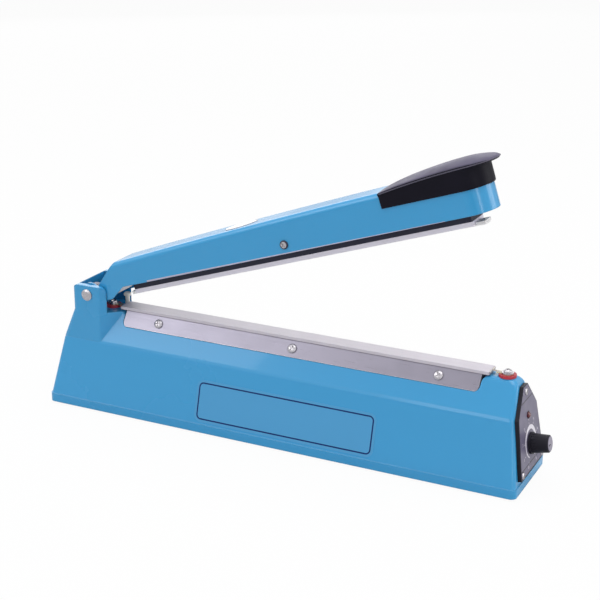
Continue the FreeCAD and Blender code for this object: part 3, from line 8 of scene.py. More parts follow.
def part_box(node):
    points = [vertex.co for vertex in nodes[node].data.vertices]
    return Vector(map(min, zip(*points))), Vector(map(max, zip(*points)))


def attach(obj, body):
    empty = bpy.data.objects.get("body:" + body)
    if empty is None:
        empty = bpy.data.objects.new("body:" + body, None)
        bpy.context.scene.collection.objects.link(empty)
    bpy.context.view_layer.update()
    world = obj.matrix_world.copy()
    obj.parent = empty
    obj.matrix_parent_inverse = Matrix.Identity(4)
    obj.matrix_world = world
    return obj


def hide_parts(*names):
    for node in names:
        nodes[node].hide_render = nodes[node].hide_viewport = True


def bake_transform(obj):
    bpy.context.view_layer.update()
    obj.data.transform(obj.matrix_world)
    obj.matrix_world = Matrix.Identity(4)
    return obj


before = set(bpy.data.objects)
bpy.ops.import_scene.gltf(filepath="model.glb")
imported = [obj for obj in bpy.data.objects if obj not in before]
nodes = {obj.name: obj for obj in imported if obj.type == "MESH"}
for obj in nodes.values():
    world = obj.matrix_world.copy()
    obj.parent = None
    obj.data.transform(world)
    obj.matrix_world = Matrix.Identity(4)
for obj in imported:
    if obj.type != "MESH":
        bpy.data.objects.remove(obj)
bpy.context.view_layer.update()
scene = bpy.context.scene
scene.view_settings.view_transform = "Standard"
mm = 0.001
print("frame loaded:", len(nodes), "nodes")

# where the base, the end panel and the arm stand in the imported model, in mm and degrees
stand = {
    "baseX": -7.5777,
    "lift": 2.0,
    "panelX": 205.1932,
    "lean": 8.5,
    "hinge": (-185.5777, 0.0, 101.0),
    "open": 18.4,
}


def leaning(x, y, z, degrees):
    turn = Matrix.Rotation(math.radians(-degrees), 4, "Y")
    return Matrix.Translation((x * mm, y * mm, z * mm)) @ turn @ Matrix.Scale(mm, 4)


baseFrame = leaning(stand["baseX"], 0, stand["lift"], 0)
panelFrame = leaning(stand["panelX"], 0, stand["lift"], stand["lean"])
armFrame = leaning(*stand["hinge"], stand["open"])


def facing(spot, outward, along):
    # a local frame in mm whose z points outward and whose x runs along
    z = Vector(outward).normalized()
    y = z.cross(Vector(along)).normalized()
    x = y.cross(z)
    turn = Matrix((x, y, z)).transposed().to_4x4()
    return Matrix.Translation(spot) @ turn


# shader groups shared by the finishes

def newGroup(name, inputs, outputs):
    group = bpy.data.node_groups.new(name, "ShaderNodeTree")
    for label, kind, value in inputs:
        socket = group.interface.new_socket(label, in_out="INPUT", socket_type=kind)
        socket.default_value = value
    for label, kind in outputs:
        group.interface.new_socket(label, in_out="OUTPUT", socket_type=kind)
    entry = group.nodes.new("NodeGroupInput")
    leave = group.nodes.new("NodeGroupOutput")
    return group, entry, leave


def surfaceNoise(group, size, detail, stretch=None, turn=None):
    # noise in the piece's own space, optionally turned and stretched
    coords = group.nodes.new("ShaderNodeTexCoord")
    pattern = group.nodes.new("ShaderNodeTexNoise")
    pattern.inputs["Detail"].default_value = detail
    source = coords.outputs["Object"]
    if turn is not None:
        mapping = group.nodes.new("ShaderNodeMapping")
        group.links.new(source, mapping.inputs["Vector"])
        group.links.new(turn, mapping.inputs["Rotation"])
        source = mapping.outputs["Vector"]
    if stretch is not None:
        multiply = group.nodes.new("ShaderNodeVectorMath")
        multiply.operation = "MULTIPLY"
        group.links.new(source, multiply.inputs[0])
        group.links.new(stretch, multiply.inputs[1])
        source = multiply.outputs["Vector"]
    group.links.new(source, pattern.inputs["Vector"])
    group.links.new(size, pattern.inputs["Scale"])
    return pattern.outputs["Fac"]


def softStep(group, value, start, end):
    # rises smoothly while the value goes from start to end
    step = group.nodes.new("ShaderNodeMapRange")
    step.interpolation_type = "SMOOTHSTEP"
    step.inputs["From Min"].default_value = start
    step.inputs["From Max"].default_value = end
    group.links.new(value, step.inputs["Value"])
    return step


def spread(group, value, low, high):
    # maps the middle half of a noise softly to low..high
    step = softStep(group, value, 0.25, 0.75)
    group.links.new(low, step.inputs["To Min"])
    group.links.new(high, step.inputs["To Max"])
    return step.outputs["Result"]


def sumOf(group, first, second, operation="ADD"):
    node = group.nodes.new("ShaderNodeMath")
    node.operation = operation
    for index, value in enumerate((first, second)):
        if isinstance(value, (int, float)):
            node.inputs[index].default_value = value
        else:
            group.links.new(value, node.inputs[index])
    return node.outputs["Value"]


def makeToneDrift():
    group, entry, leave = newGroup("toneDrift", [
        ("Color", "NodeSocketColor", (1, 1, 1, 1)),
        ("Size", "NodeSocketFloat", 20.0),
        ("Amount", "NodeSocketFloat", 0.05),
    ], [("Color", "NodeSocketColor")])
    pattern = surfaceNoise(group, entry.outputs["Size"], 4.0)
    low = sumOf(group, 1.0, entry.outputs["Amount"], "SUBTRACT")
    high = sumOf(group, 1.0, entry.outputs["Amount"])
    level = spread(group, pattern, low, high)
    scaled = group.nodes.new("ShaderNodeVectorMath")
    scaled.operation = "SCALE"
    group.links.new(entry.outputs["Color"], scaled.inputs[0])
    group.links.new(level, scaled.inputs["Scale"])
    group.links.new(scaled.outputs["Vector"], leave.inputs["Color"])
    return group


def makeFineGrain():
    group, entry, leave = newGroup("fineGrain", [
        ("Size", "NodeSocketFloat", 800.0),
        ("Stretch", "NodeSocketVector", (1, 1, 1)),
        ("Turn", "NodeSocketVector", (0, 0, 0)),
    ], [("Height", "NodeSocketFloat")])
    size, stretch, turn = [entry.outputs[label] for label in ("Size", "Stretch", "Turn")]
    group.links.new(surfaceNoise(group, size, 3.0, stretch, turn), leave.inputs["Height"])
    return group


def makeScuffs():
    group, entry, leave = newGroup("scuffs", [
        ("Size", "NodeSocketFloat", 60.0),
        ("Stretch", "NodeSocketVector", (1, 1, 1)),
        ("Turn", "NodeSocketVector", (0, 0, 0)),
        ("Smooth", "NodeSocketFloat", 0.25),
        ("Rough", "NodeSocketFloat", 0.4),
    ], [("Roughness", "NodeSocketFloat")])
    size, stretch, turn = [entry.outputs[label] for label in ("Size", "Stretch", "Turn")]
    pattern = surfaceNoise(group, size, 6.0, stretch, turn)
    level = spread(group, pattern, entry.outputs["Smooth"], entry.outputs["Rough"])
    group.links.new(level, leave.inputs["Roughness"])
    return group


def makeEdgeWear():
    # how far a rounded normal turns away marks the edges that hands and cloths rub and the edges that catch
    # a highlight; the paler colour painted there is wear on some finishes and painted highlight on others
    group, entry, leave = newGroup("edgeWearAndHighlight", [
        ("Width", "NodeSocketFloat", 0.0006),
        ("Size", "NodeSocketFloat", 90.0),
        ("Amount", "NodeSocketFloat", 0.5),
    ], [("Mask", "NodeSocketFloat")])
    bevel = group.nodes.new("ShaderNodeBevel")
    bevel.samples = 4
    group.links.new(entry.outputs["Width"], bevel.inputs["Radius"])
    geometry = group.nodes.new("ShaderNodeNewGeometry")
    dot = group.nodes.new("ShaderNodeVectorMath")
    dot.operation = "DOT_PRODUCT"
    group.links.new(bevel.outputs["Normal"], dot.inputs[0])
    group.links.new(geometry.outputs["Normal"], dot.inputs[1])
    turnedAway = sumOf(group, 0.97, dot.outputs["Value"], "SUBTRACT")  # 0.97 leaves flat faces out
    edges = sumOf(group, turnedAway, 0.0, "MAXIMUM")
    sharp = sumOf(group, edges, 6.0, "MULTIPLY")
    pattern = surfaceNoise(group, entry.outputs["Size"], 5.0)
    patchy = sumOf(group, sharp, pattern, "MULTIPLY")
    level = sumOf(group, patchy, entry.outputs["Amount"], "MULTIPLY")
    capped = sumOf(group, level, 1.0, "MINIMUM")
    group.links.new(capped, leave.inputs["Mask"])
    return group


def makeSettledDust():
    # painted sheen: faces that look up are painted a little paler, in patches, in place of the sky's
    # reflection
    group, entry, leave = newGroup("paintedTopSheen", [
        ("Size", "NodeSocketFloat", 80.0),
        ("Amount", "NodeSocketFloat", 0.5),
    ], [("Mask", "NodeSocketFloat")])
    geometry = group.nodes.new("ShaderNodeNewGeometry")
    parts = group.nodes.new("ShaderNodeSeparateXYZ")
    group.links.new(geometry.outputs["Normal"], parts.inputs["Vector"])
    upward = softStep(group, parts.outputs["Z"], 0.35, 0.95)
    pattern = surfaceNoise(group, entry.outputs["Size"], 4.0)
    patchy = sumOf(group, sumOf(group, pattern, 0.5), upward.outputs["Result"], "MULTIPLY")
    group.links.new(sumOf(group, patchy, entry.outputs["Amount"], "MULTIPLY"), leave.inputs["Mask"])
    return group


toneDrift = makeToneDrift()
fineGrain = makeFineGrain()
scuffs = makeScuffs()
edgeWearAndHighlight = makeEdgeWear()
paintedTopSheen = makeSettledDust()
print("shader groups ready")


def srgb(red, green, blue):
    def linear(channel):
        share = channel / 255
        return share / 12.92 if share <= 0.04045 else ((share + 0.055) / 1.055) ** 2.4
    return (linear(red), linear(green), linear(blue), 1.0)


def useGroup(tree, group, **values):
    node = tree.nodes.new("ShaderNodeGroup")
    node.node_tree = group
    for label, value in values.items():
        node.inputs[label].default_value = value
    return node


def mixed(tree, factor):
    # a colour mix whose two colours are still to be set
    mix = tree.nodes.new("ShaderNodeMix")
    mix.data_type = "RGBA"
    tree.links.new(factor, mix.inputs["Factor"])
    return mix


def relief(tree, height, strength, distance):
    bump = tree.nodes.new("ShaderNodeBump")
    bump.inputs["Strength"].default_value = strength
    bump.inputs["Distance"].default_value = distance
    tree.links.new(height, bump.inputs["Height"])
    return bump


def finish(name, colour, drift, rough, grain, roughSize=60.0, stretch=(1, 1, 1), turn=(0, 0, 0),
           wearAndHighlight=None, topSheen=None, fixed=None, softEdge=None):
    # one layered material: drifting tone, a painted sheen on faces that look up, edges painted paler for
    # wear and for highlight, uneven gloss and a fine relief
    material = bpy.data.materials.new(name)
    material.use_nodes = True
    tree = material.node_tree
    shader = tree.nodes["Principled BSDF"]
    tone = useGroup(tree, toneDrift, Color=colour, Size=drift[0], Amount=drift[1])
    colourOut = tone.outputs["Color"]
    layers = []
    if topSheen:
        mask = useGroup(tree, paintedTopSheen, Size=topSheen["size"], Amount=topSheen["amount"])
        layers.append((mask, topSheen["colour"]))
    if wearAndHighlight:
        mask = useGroup(tree, edgeWearAndHighlight, Width=wearAndHighlight["width"], Size=wearAndHighlight["size"], Amount=wearAndHighlight["amount"])
        layers.append((mask, wearAndHighlight["colour"]))
    for mask, layerColour in layers:
        mix = mixed(tree, mask.outputs["Mask"])
        tree.links.new(colourOut, mix.inputs["A"])
        mix.inputs["B"].default_value = layerColour
        colourOut = mix.outputs["Result"]
    tree.links.new(colourOut, shader.inputs["Base Color"])
    gloss = useGroup(
        tree, scuffs, Size=roughSize, Stretch=stretch, Turn=turn, Smooth=rough[0], Rough=rough[1],
    )
    tree.links.new(gloss.outputs["Roughness"], shader.inputs["Roughness"])
    texture = useGroup(tree, fineGrain, Size=grain[0], Stretch=stretch, Turn=turn)
    bump = relief(tree, texture.outputs["Height"], grain[1], 0.0003)
    tree.links.new(bump.outputs["Normal"], shader.inputs["Normal"])
    if softEdge:
        bevel = tree.nodes.new("ShaderNodeBevel")
        bevel.samples = 6
        bevel.inputs["Radius"].default_value = softEdge
        tree.links.new(bevel.outputs["Normal"], bump.inputs["Normal"])
    for label, value in (fixed or {}).items():
        shader.inputs[label].default_value = value
    return material


def striped(material, size, axis, dark, depth):
    # regular bands over a finish, such as laminations, turns of wire or ribs of a weave
    tree = material.node_tree
    shader = tree.nodes["Principled BSDF"]
    coords = tree.nodes.new("ShaderNodeTexCoord")
    wave = tree.nodes.new("ShaderNodeTexWave")
    wave.bands_direction = axis
    wave.inputs["Scale"].default_value = size
    wave.inputs["Distortion"].default_value = 0.3
    tree.links.new(coords.outputs["Object"], wave.inputs["Vector"])
    former = shader.inputs["Base Color"].links[0].from_socket
    mix = mixed(tree, wave.outputs["Fac"])
    mix.inputs["A"].default_value = dark
    tree.links.new(former, mix.inputs["B"])
    tree.links.new(mix.outputs["Result"], shader.inputs["Base Color"])
    first = shader.inputs["Normal"].links[0].from_node
    second = relief(tree, wave.outputs["Fac"], depth, 0.0004)
    tree.links.new(first.outputs["Normal"], second.inputs["Normal"])
    tree.links.new(second.outputs["Normal"], shader.inputs["Normal"])
    return material


# drift is (size, amount), rough is (smoothest, roughest), grain is (size, strength)
alongBed = (1.0, 45.0, 45.0)
armTurn = (0.0, math.radians(stand["open"]), 0.0)

# the pale blue on the paint's edges is a painted highlight
bluePaint = finish(
    "bluePaint", srgb(50, 150, 204), drift=(3.0, 0.02), rough=(0.26, 0.31), roughSize=5.0,
    grain=(420.0, 0.02), softEdge=0.0014,
    wearAndHighlight={"width": 0.0008, "size": 60.0, "amount": 0.4, "colour": srgb(134, 194, 230)},
    fixed={"Specular IOR Level": 0.3, "Coat Weight": 0.45, "Coat Roughness": 0.05},
)
# the near-white on the strips' edges is a painted highlight along their edge
stripMetal = finish(
    "stripMetal", srgb(130, 127, 139), drift=(30.0, 0.05), rough=(0.27, 0.37), roughSize=40.0,
    grain=(60.0, 0.14), stretch=alongBed, fixed={"Metallic": 1.0},
    wearAndHighlight={"width": 0.0004, "size": 120.0, "amount": 0.6, "colour": srgb(232, 230, 236)},
)
bedMetal = finish(
    "bedMetal", srgb(176, 173, 182), drift=(24.0, 0.06), rough=(0.36, 0.5), roughSize=40.0,
    grain=(70.0, 0.2), stretch=alongBed, fixed={"Metallic": 1.0},
)
barMetal = finish(
    "barMetal", srgb(212, 208, 219), drift=(30.0, 0.04), rough=(0.46, 0.6), roughSize=40.0,
    grain=(60.0, 0.16), stretch=alongBed, turn=armTurn, fixed={"Metallic": 0.5},
)
platedSteel = finish(
    "platedSteel", srgb(176, 173, 178), drift=(150.0, 0.06), rough=(0.2, 0.34), roughSize=220.0,
    grain=(900.0, 0.08), fixed={"Metallic": 1.0},
    wearAndHighlight={"width": 0.0003, "size": 300.0, "amount": 0.5, "colour": srgb(226, 224, 228)},
)
# a dark steel that paints the shade in the recess round the pivot screw's head
recessShadeSteel = finish(
    "recessShadeSteel", srgb(50, 50, 64), drift=(150.0, 0.08), rough=(0.3, 0.42), roughSize=220.0,
    grain=(900.0, 0.08), fixed={"Metallic": 0.6},
)
springSteel = finish(
    "springSteel", srgb(122, 122, 130), drift=(200.0, 0.08), rough=(0.26, 0.4), roughSize=300.0,
    grain=(1500.0, 0.1), fixed={"Metallic": 1.0},
)
ribbonAlloy = finish(
    "ribbonAlloy", srgb(168, 162, 156), drift=(120.0, 0.08), rough=(0.3, 0.45),
    grain=(600.0, 0.12), stretch=alongBed, fixed={"Metallic": 1.0},
)
lugBrass = finish(
    "lugBrass", srgb(196, 184, 152), drift=(200.0, 0.08), rough=(0.26, 0.4), roughSize=200.0,
    grain=(800.0, 0.1), fixed={"Metallic": 1.0},
)
coreIron = striped(finish(
    "coreIron", srgb(92, 92, 98), drift=(60.0, 0.1), rough=(0.45, 0.6),
    grain=(500.0, 0.15), fixed={"Metallic": 0.7},
), 320.0, "Y", srgb(52, 52, 58), 0.5)
coilWrap = striped(finish(
    "coilWrap", srgb(196, 160, 70), drift=(80.0, 0.08), rough=(0.3, 0.45), grain=(500.0, 0.1),
), 90.0, "Z", srgb(158, 122, 48), 0.3)
greenBoard = striped(finish(
    "greenBoard", srgb(32, 104, 64), drift=(60.0, 0.1), rough=(0.3, 0.42), grain=(700.0, 0.1),
), 60.0, "Z", srgb(24, 84, 50), 0.2)
blackPlastic = finish(
    "blackPlastic", srgb(22, 21, 31), drift=(80.0, 0.12), rough=(0.36, 0.5), roughSize=160.0,
    grain=(1400.0, 0.14), fixed={"Specular IOR Level": 0.18},
    wearAndHighlight={"width": 0.0004, "size": 200.0, "amount": 0.4, "colour": srgb(74, 72, 82)},
)
holderBlack = finish(
    "holderBlack", srgb(42, 43, 58), drift=(30.0, 0.12), rough=(0.34, 0.5), roughSize=60.0,
    grain=(500.0, 0.12), stretch=(1.0, 8.0, 8.0), turn=armTurn, fixed={"Specular IOR Level": 0.18},
    wearAndHighlight={"width": 0.0005, "size": 120.0, "amount": 0.5, "colour": srgb(96, 96, 110)},
)
# the grip's paler upward faces are a painted sheen that stands in for the sky's reflection
gripPlastic = finish(
    "gripPlastic", srgb(19, 18, 28), drift=(40.0, 0.14), rough=(0.36, 0.5), roughSize=90.0,
    grain=(1000.0, 0.16), fixed={"Specular IOR Level": 0.08},
    wearAndHighlight={"width": 0.0009, "size": 160.0, "amount": 0.4, "colour": srgb(86, 84, 98)},
    topSheen={"size": 60.0, "amount": 0.75, "colour": srgb(98, 94, 116)},
)
# a paler plastic that paints a highlight line along the grip's rim
gripRimHighlight = finish(
    "gripRimHighlight", srgb(80, 77, 92), drift=(40.0, 0.1), rough=(0.34, 0.46),
    grain=(900.0, 0.1), fixed={"Specular IOR Level": 0.2},
)
greyPlastic = finish(
    "greyPlastic", srgb(132, 127, 145), drift=(200.0, 0.06), rough=(0.34, 0.46), roughSize=300.0,
    grain=(1600.0, 0.12),
    wearAndHighlight={"width": 0.0003, "size": 300.0, "amount": 0.4, "colour": srgb(190, 188, 200)},
)
whitePlastic = finish(
    "whitePlastic", srgb(226, 224, 218), drift=(200.0, 0.04), rough=(0.3, 0.42), grain=(1200.0, 0.1),
)
redFibre = striped(finish(
    "redFibre", srgb(196, 46, 62), drift=(260.0, 0.1), rough=(0.4, 0.55), roughSize=300.0,
    grain=(1500.0, 0.2),
), 420.0, "Z", srgb(160, 30, 46), 0.25)
redLens = finish(
    "redLens", srgb(98, 8, 24), drift=(300.0, 0.06), rough=(0.08, 0.16), roughSize=200.0,
    grain=(900.0, 0.03), fixed={"Transmission Weight": 0.2, "IOR": 1.5, "Coat Weight": 0.2},
)
glassTape = finish(
    "glassTape", srgb(222, 214, 196), drift=(90.0, 0.06), rough=(0.5, 0.65), grain=(1800.0, 0.3),
)
clothCoat = striped(finish(
    "clothCoat", srgb(198, 192, 202), drift=(40.0, 0.05), rough=(0.3, 0.46), roughSize=70.0,
    grain=(320.0, 0.22), stretch=(1.0, 14.0, 14.0), fixed={"Sheen Weight": 0.15},
), 260.0, "Y", srgb(184, 178, 188), 0.12)
siliconeRubber = finish(
    "siliconeRubber", srgb(232, 230, 230), drift=(60.0, 0.04), rough=(0.42, 0.56), grain=(900.0, 0.14),
    fixed={"Subsurface Weight": 0.25, "Subsurface Radius": (0.004, 0.004, 0.004), "Subsurface Scale": 0.4},
)
blackRubber = finish(
    "blackRubber", srgb(28, 28, 30), drift=(120.0, 0.1), rough=(0.6, 0.75), roughSize=120.0,
    grain=(1100.0, 0.2), fixed={"Specular IOR Level": 0.2},
)

nodeFinishes = [
    (bluePaint, ["base_shell", "arm_channel"]),
    (stripMetal, ["front_clamp_strip", "rear_clamp_strip"]),
    (bedMetal, ["heat_bar"]),
    (barMetal, ["pressure_bar"]),
    (platedSteel, [
        "bottom_plate", "foot_screws", "hinge_pin", "hinge_pin_caps", "terminal_washers", "potentiometer",
        "panel_nut", "transformer_bracket", "bracket_screws", "potentiometer_shaft", "hinge_bush",
        "striker_bar", "handle_screws", "pivot_nut", "clamp_strip_screws", "terminal_screws",
        "panel_screws", "bar_pivot_screw",
    ]),
    (springSteel, ["return_spring"]),
    (ribbonAlloy, ["heating_ribbon"]),
    (lugBrass, ["ribbon_lugs"]),
    (coreIron, ["transformer_core"]),
    (coilWrap, ["transformer_coil"]),
    (greenBoard, ["timer_board"]),
    (blackPlastic, ["control_panel", "board_components", "micro_switch", "timer_knob"]),
    (holderBlack, ["bar_holder"]),
    (gripPlastic, ["handle_grip"]),
    (greyPlastic, ["knob_cap"]),
    (whitePlastic, ["switch_plunger"]),
    (redFibre, ["fibre_washers"]),
    (redLens, ["indicator_lamp"]),
    (glassTape, ["insulating_tape"]),
    (clothCoat, ["ptfe_cloth"]),
    (siliconeRubber, ["silicone_strip"]),
    (blackRubber, ["rubber_feet", "cord_grommet"]),
]
for material, names in nodeFinishes:
    for name in names:
        nodes[name].data.materials.clear()
        nodes[name].data.materials.append(material)
left = [name for name in nodes if not any(name in names for _, names in nodeFinishes)]
print("finishes on", len(nodes) - len(left), "nodes, left over:", left)


# pieces that scene.py adds: built in mm in a local frame, then put in place

def addPiece(name, bm, materials, body, place, sharp=32.0, replaces=()):
    bm.transform(place)
    bmesh.ops.recalc_face_normals(bm, faces=bm.faces)
    mesh = bpy.data.meshes.new(name)
    bm.to_mesh(mesh)
    bm.free()
    for material in materials:
        mesh.materials.append(material)
    mesh.shade_smooth()
    mesh.set_sharp_from_angle(angle=math.radians(sharp))
    piece = bpy.data.objects.new(name, mesh)
    scene.collection.objects.link(piece)
    if body:
        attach(piece, body)
    if replaces:
        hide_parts(*replaces)
    return piece


def addMesh(target, source):
    # moves one mesh into another
    held = bpy.data.meshes.new("held")
    source.to_mesh(held)
    source.free()
    target.from_mesh(held)
    bpy.data.meshes.remove(held)


def around(radius, angle, x=0.0, y=0.0):
    return (x + radius * math.cos(angle), y + radius * math.sin(angle))


def disc(x, y, radius, steps=40):
    return [around(radius, 2 * math.pi * step / steps, x, y) for step in range(steps)]


def roundedOutline(halfX, halfY, radius, steps=8):
    points = []
    for cornerX, cornerY, start in ((1, 1, 0), (-1, 1, 90), (-1, -1, 180), (1, -1, 270)):
        for step in range(steps + 1):
            angle = math.radians(start + 90 * step / steps)
            points.append(around(radius, angle, cornerX * (halfX - radius), cornerY * (halfY - radius)))
    return points


def band(bm, first, second):
    # the ring of faces between two closed rows of vertices
    faces = []
    for index in range(len(first)):
        following = (index + 1) % len(first)
        faces.append(bm.faces.new((first[index], first[following], second[following], second[index])))
    return faces


def lofted(rows, bm=None):
    # a capped solid through closed rows of points
    bm = bm or bmesh.new()
    made = [[bm.verts.new(point) for point in row] for row in rows]
    for first, second in zip(made, made[1:]):
        band(bm, first, second)
    bm.faces.new(list(reversed(made[0])))
    bm.faces.new(made[-1])
    return bm


def prism(outline, low, high):
    return lofted([[(x, y, z) for x, y in outline] for z in (low, high)])


def layeredPlate(loops, rings):
    # loops go from the rim inwards as (points, height)
    # rings give each band's material, and the last one the middle's
    bm = bmesh.new()
    rows = [[bm.verts.new((x, y, height)) for x, y in points] for points, height in loops]
    for outer, inner, material in zip(rows, rows[1:], rings):
        for face in band(bm, outer, inner):
            face.material_index = material
    bm.faces.new(rows[-1]).material_index = rings[-1]
    bm.faces.new(list(reversed(rows[0])))
    return bm


def turned(profile, steps=40):
    # a solid of revolution about z from (radius, height) points that start and end on the axis
    bm = bmesh.new()
    rows = []
    for radius, height in profile:
        ring = disc(0.0, 0.0, radius, steps) if radius > 1e-6 else [(0, 0)]
        rows.append([bm.verts.new((x, y, height)) for x, y in ring])
    for low, high in zip(rows, rows[1:]):
        for step in range(steps):
            following = (step + 1) % steps
            lower = [low[step % len(low)], low[following % len(low)]]
            upper = [high[following % len(high)], high[step % len(high)]]
            bm.faces.new(list(dict.fromkeys(lower + upper)))
    return bm


def carved(bm, cutter):
    # cuts one closed mesh out of another
    solids = []
    for label, source in (("carvedBase", bm), ("carvedTool", cutter)):
        bmesh.ops.recalc_face_normals(source, faces=source.faces)
        mesh = bpy.data.meshes.new(label)
        source.to_mesh(mesh)
        source.free()
        solid = bpy.data.objects.new(label, mesh)
        scene.collection.objects.link(solid)
        solids.append(solid)
    modifier = solids[0].modifiers.new("carve", "BOOLEAN")
    modifier.operation = "DIFFERENCE"
    modifier.solver = "EXACT"
    modifier.object = solids[1]
    bpy.context.view_layer.update()
    result = bmesh.new()
    result.from_object(solids[0], bpy.context.evaluated_depsgraph_get())
    for solid in solids:
        mesh = solid.data
        bpy.data.objects.remove(solid)
        bpy.data.meshes.remove(mesh)
    return result


# pan-head screws with a crossed recess; these are shares of the head, its height and the shank
screwShape = {
    "point": 0.7, "taper": 0.4, "rim": 0.35, "domeSteps": 6,
    "crossWidth": 0.26, "crossReach": 0.62, "crossFloor": 0.3, "crossTop": 1.4, "crossTaper": 0.8,
}


def crossPrism(width, reach, low, high, taper):
    # a cross-shaped driver tip that narrows with depth
    half = width / 2
    outline = []
    for quarter in range(4):
        angle = math.pi / 2 * quarter
        for x, y in ((reach, -half), (reach, half), (half, half)):
            outline.append((
                x * math.cos(angle) - y * math.sin(angle), x * math.sin(angle) + y * math.cos(angle),
            ))
    return lofted([
        [(x * share, y * share, height) for x, y in outline] for height, share in ((low, taper), (high, 1.0))
    ])


def panScrew(head, height, shank, length):
    rim = height * screwShape["rim"]
    profile = [
        (0, -length), (shank * screwShape["point"], -length),
        (shank, -length + shank * screwShape["taper"]), (shank, 0), (head, 0), (head, rim),
    ]
    for step in range(1, screwShape["domeSteps"]):
        angle = math.pi / 2 * step / screwShape["domeSteps"]
        profile.append((head * math.cos(angle), rim + (height - rim) * math.sin(angle)))
    profile.append((0, height))
    tip = crossPrism(
        head * screwShape["crossWidth"], head * screwShape["crossReach"],
        height * screwShape["crossFloor"], height * screwShape["crossTop"], screwShape["crossTaper"],
    )
    return carved(turned(profile), tip)


# each spot is the seat under the head, the way that the head looks and the way that its cross lies
stripSeat = {
    "y": 10.7, "z": 78.4, "outward": (0.8283, 0.5603),
    "places": ((-115.5, 0.3), (11.0, -0.6), (137.5, 0.9)),  # along the strip, turn of the cross
}
panelSeats = ((-24.0, 14.5, 0.5), (24.0, 14.5, 0.2), (0, 74.0, 0.8))  # across, up, turn of the cross
panelFaceOut = 3.0
screwSets = [
    {
        "name": "stripScrews", "node": "clamp_strip_screws", "body": "base", "frame": baseFrame,
        "head": 3.9, "height": 2.0, "shank": 2.0, "length": 7.0,
        "spots": [
            (
                (x, side * stripSeat["y"], stripSeat["z"]),
                (0, side * stripSeat["outward"][0], stripSeat["outward"][1]), (1, 0, turn),
            )
            for x, turn in stripSeat["places"] for side in (1, -1)
        ],
    },
    {
        "name": "terminalScrews", "node": "terminal_screws", "body": "base", "frame": baseFrame,
        "head": 3.3, "height": 2.5, "shank": 2.0, "length": 16.0,
        "spots": [((-167.5, 0, 86.9), (0, 0, 1), (1, 0.4, 0)), ((189.5, 0, 86.9), (0, 0, 1), (1, 0.2, 0))],
    },
    {
        "name": "panelScrews", "node": "panel_screws", "body": "base", "frame": panelFrame,
        "head": 2.7, "height": 1.3, "shank": 1.5, "length": 8.0,
        "spots": [((panelFaceOut, y, rise), (1, 0, 0), (0, 1, turn)) for y, rise, turn in panelSeats],
    },
    {
        "name": "pivotScrew", "node": "bar_pivot_screw", "body": "arm", "frame": armFrame,
        "head": 3.6, "height": 1.8, "shank": 2.5, "length": 40.5, "shadeFrom": 2.5,
        "spots": [((197.3, -18.5, 7.0), (0, -1, 0), (1, 0, 0.5))],
    },
]
for look in screwSets:
    single = panScrew(look["head"], look["height"], look["shank"], look["length"])
    # faces of the head beyond shadeFrom take the second material, a painted shade ring
    for face in single.faces:
        middle = face.calc_center_median()
        if middle.xy.length > look.get("shadeFrom", look["head"]) and middle.z > 0:
            face.material_index = 1
    together = bmesh.new()
    for spot, outward, along in look["spots"]:
        one = single.copy()
        one.transform(facing(spot, outward, along))
        addMesh(together, one)
    single.free()
    addPiece(
        look["name"], together, [platedSteel, recessShadeSteel], look["body"], look["frame"],
        replaces=(look["node"],),
    )
print("screws made")

# torsion springs: the CAD spring split into a front and a rear coil, each its own piece; the spots of the
# legs in the base and on the arm are worked out but nothing twists the coil
springLook = {"still": 8.6, "moving": 13.4}
for name, side in (("springFront", -1), ("springRear", 1)):
    spring = bmesh.new()
    spring.from_mesh(nodes["return_spring"].data)
    bmesh.ops.remove_doubles(spring, verts=spring.verts, dist=1e-6)
    others = [vertex for vertex in spring.verts if vertex.co.y * side < 0]
    bmesh.ops.delete(spring, geom=others, context="VERTS")
    piece = addPiece(
        name, spring, [springSteel], None, Matrix.Identity(4), replaces=("return_spring",),
    )
    hingeX, _, hingeZ = stand["hinge"]
    ends = [(hingeX * mm, side * springLook[key] * mm, hingeZ * mm) for key in ("still", "moving")]
    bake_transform(piece)
print("springs made")

# moulded grip: the CAD form with rounded edges and a tip that falls away
gripLook = {
    "voxel": 0.0007, "passes": 14, "strength": 0.5,
    "tip": 381.6, "fallFrom": 356.0, "fall": 2.8, "low": 36.0, "fade": 3.0,
}
moulded = bpy.data.objects.new("mouldedForm", nodes["handle_grip"].data.copy())
scene.collection.objects.link(moulded)
even = moulded.modifiers.new("evenMesh", "REMESH")
even.mode = "VOXEL"
even.voxel_size = gripLook["voxel"]
bpy.context.view_layer.update()
evenMesh = bpy.data.meshes.new_from_object(moulded.evaluated_get(bpy.context.evaluated_depsgraph_get()))
grip = bmesh.new()
grip.from_mesh(evenMesh)
formMesh = moulded.data
bpy.data.objects.remove(moulded)
bpy.data.meshes.remove(formMesh)
bpy.data.meshes.remove(evenMesh)
for step in range(gripLook["passes"]):
    bmesh.ops.smooth_vert(
        grip, verts=grip.verts, factor=gripLook["strength"],
        use_axis_x=True, use_axis_y=True, use_axis_z=True,
    )
grip.transform(armFrame.inverted())
for vertex in grip.verts:
    share = (vertex.co.x - gripLook["fallFrom"]) / (gripLook["tip"] - gripLook["fallFrom"])
    above = vertex.co.z - gripLook["low"]
    if share > 0 and above > 0:
        vertex.co.z -= gripLook["fall"] * share ** 2 * min(1.0, above / gripLook["fade"])
addPiece(
    "gripCover", grip, [gripPlastic], "arm", armFrame, sharp=70.0, replaces=("handle_grip",),
)

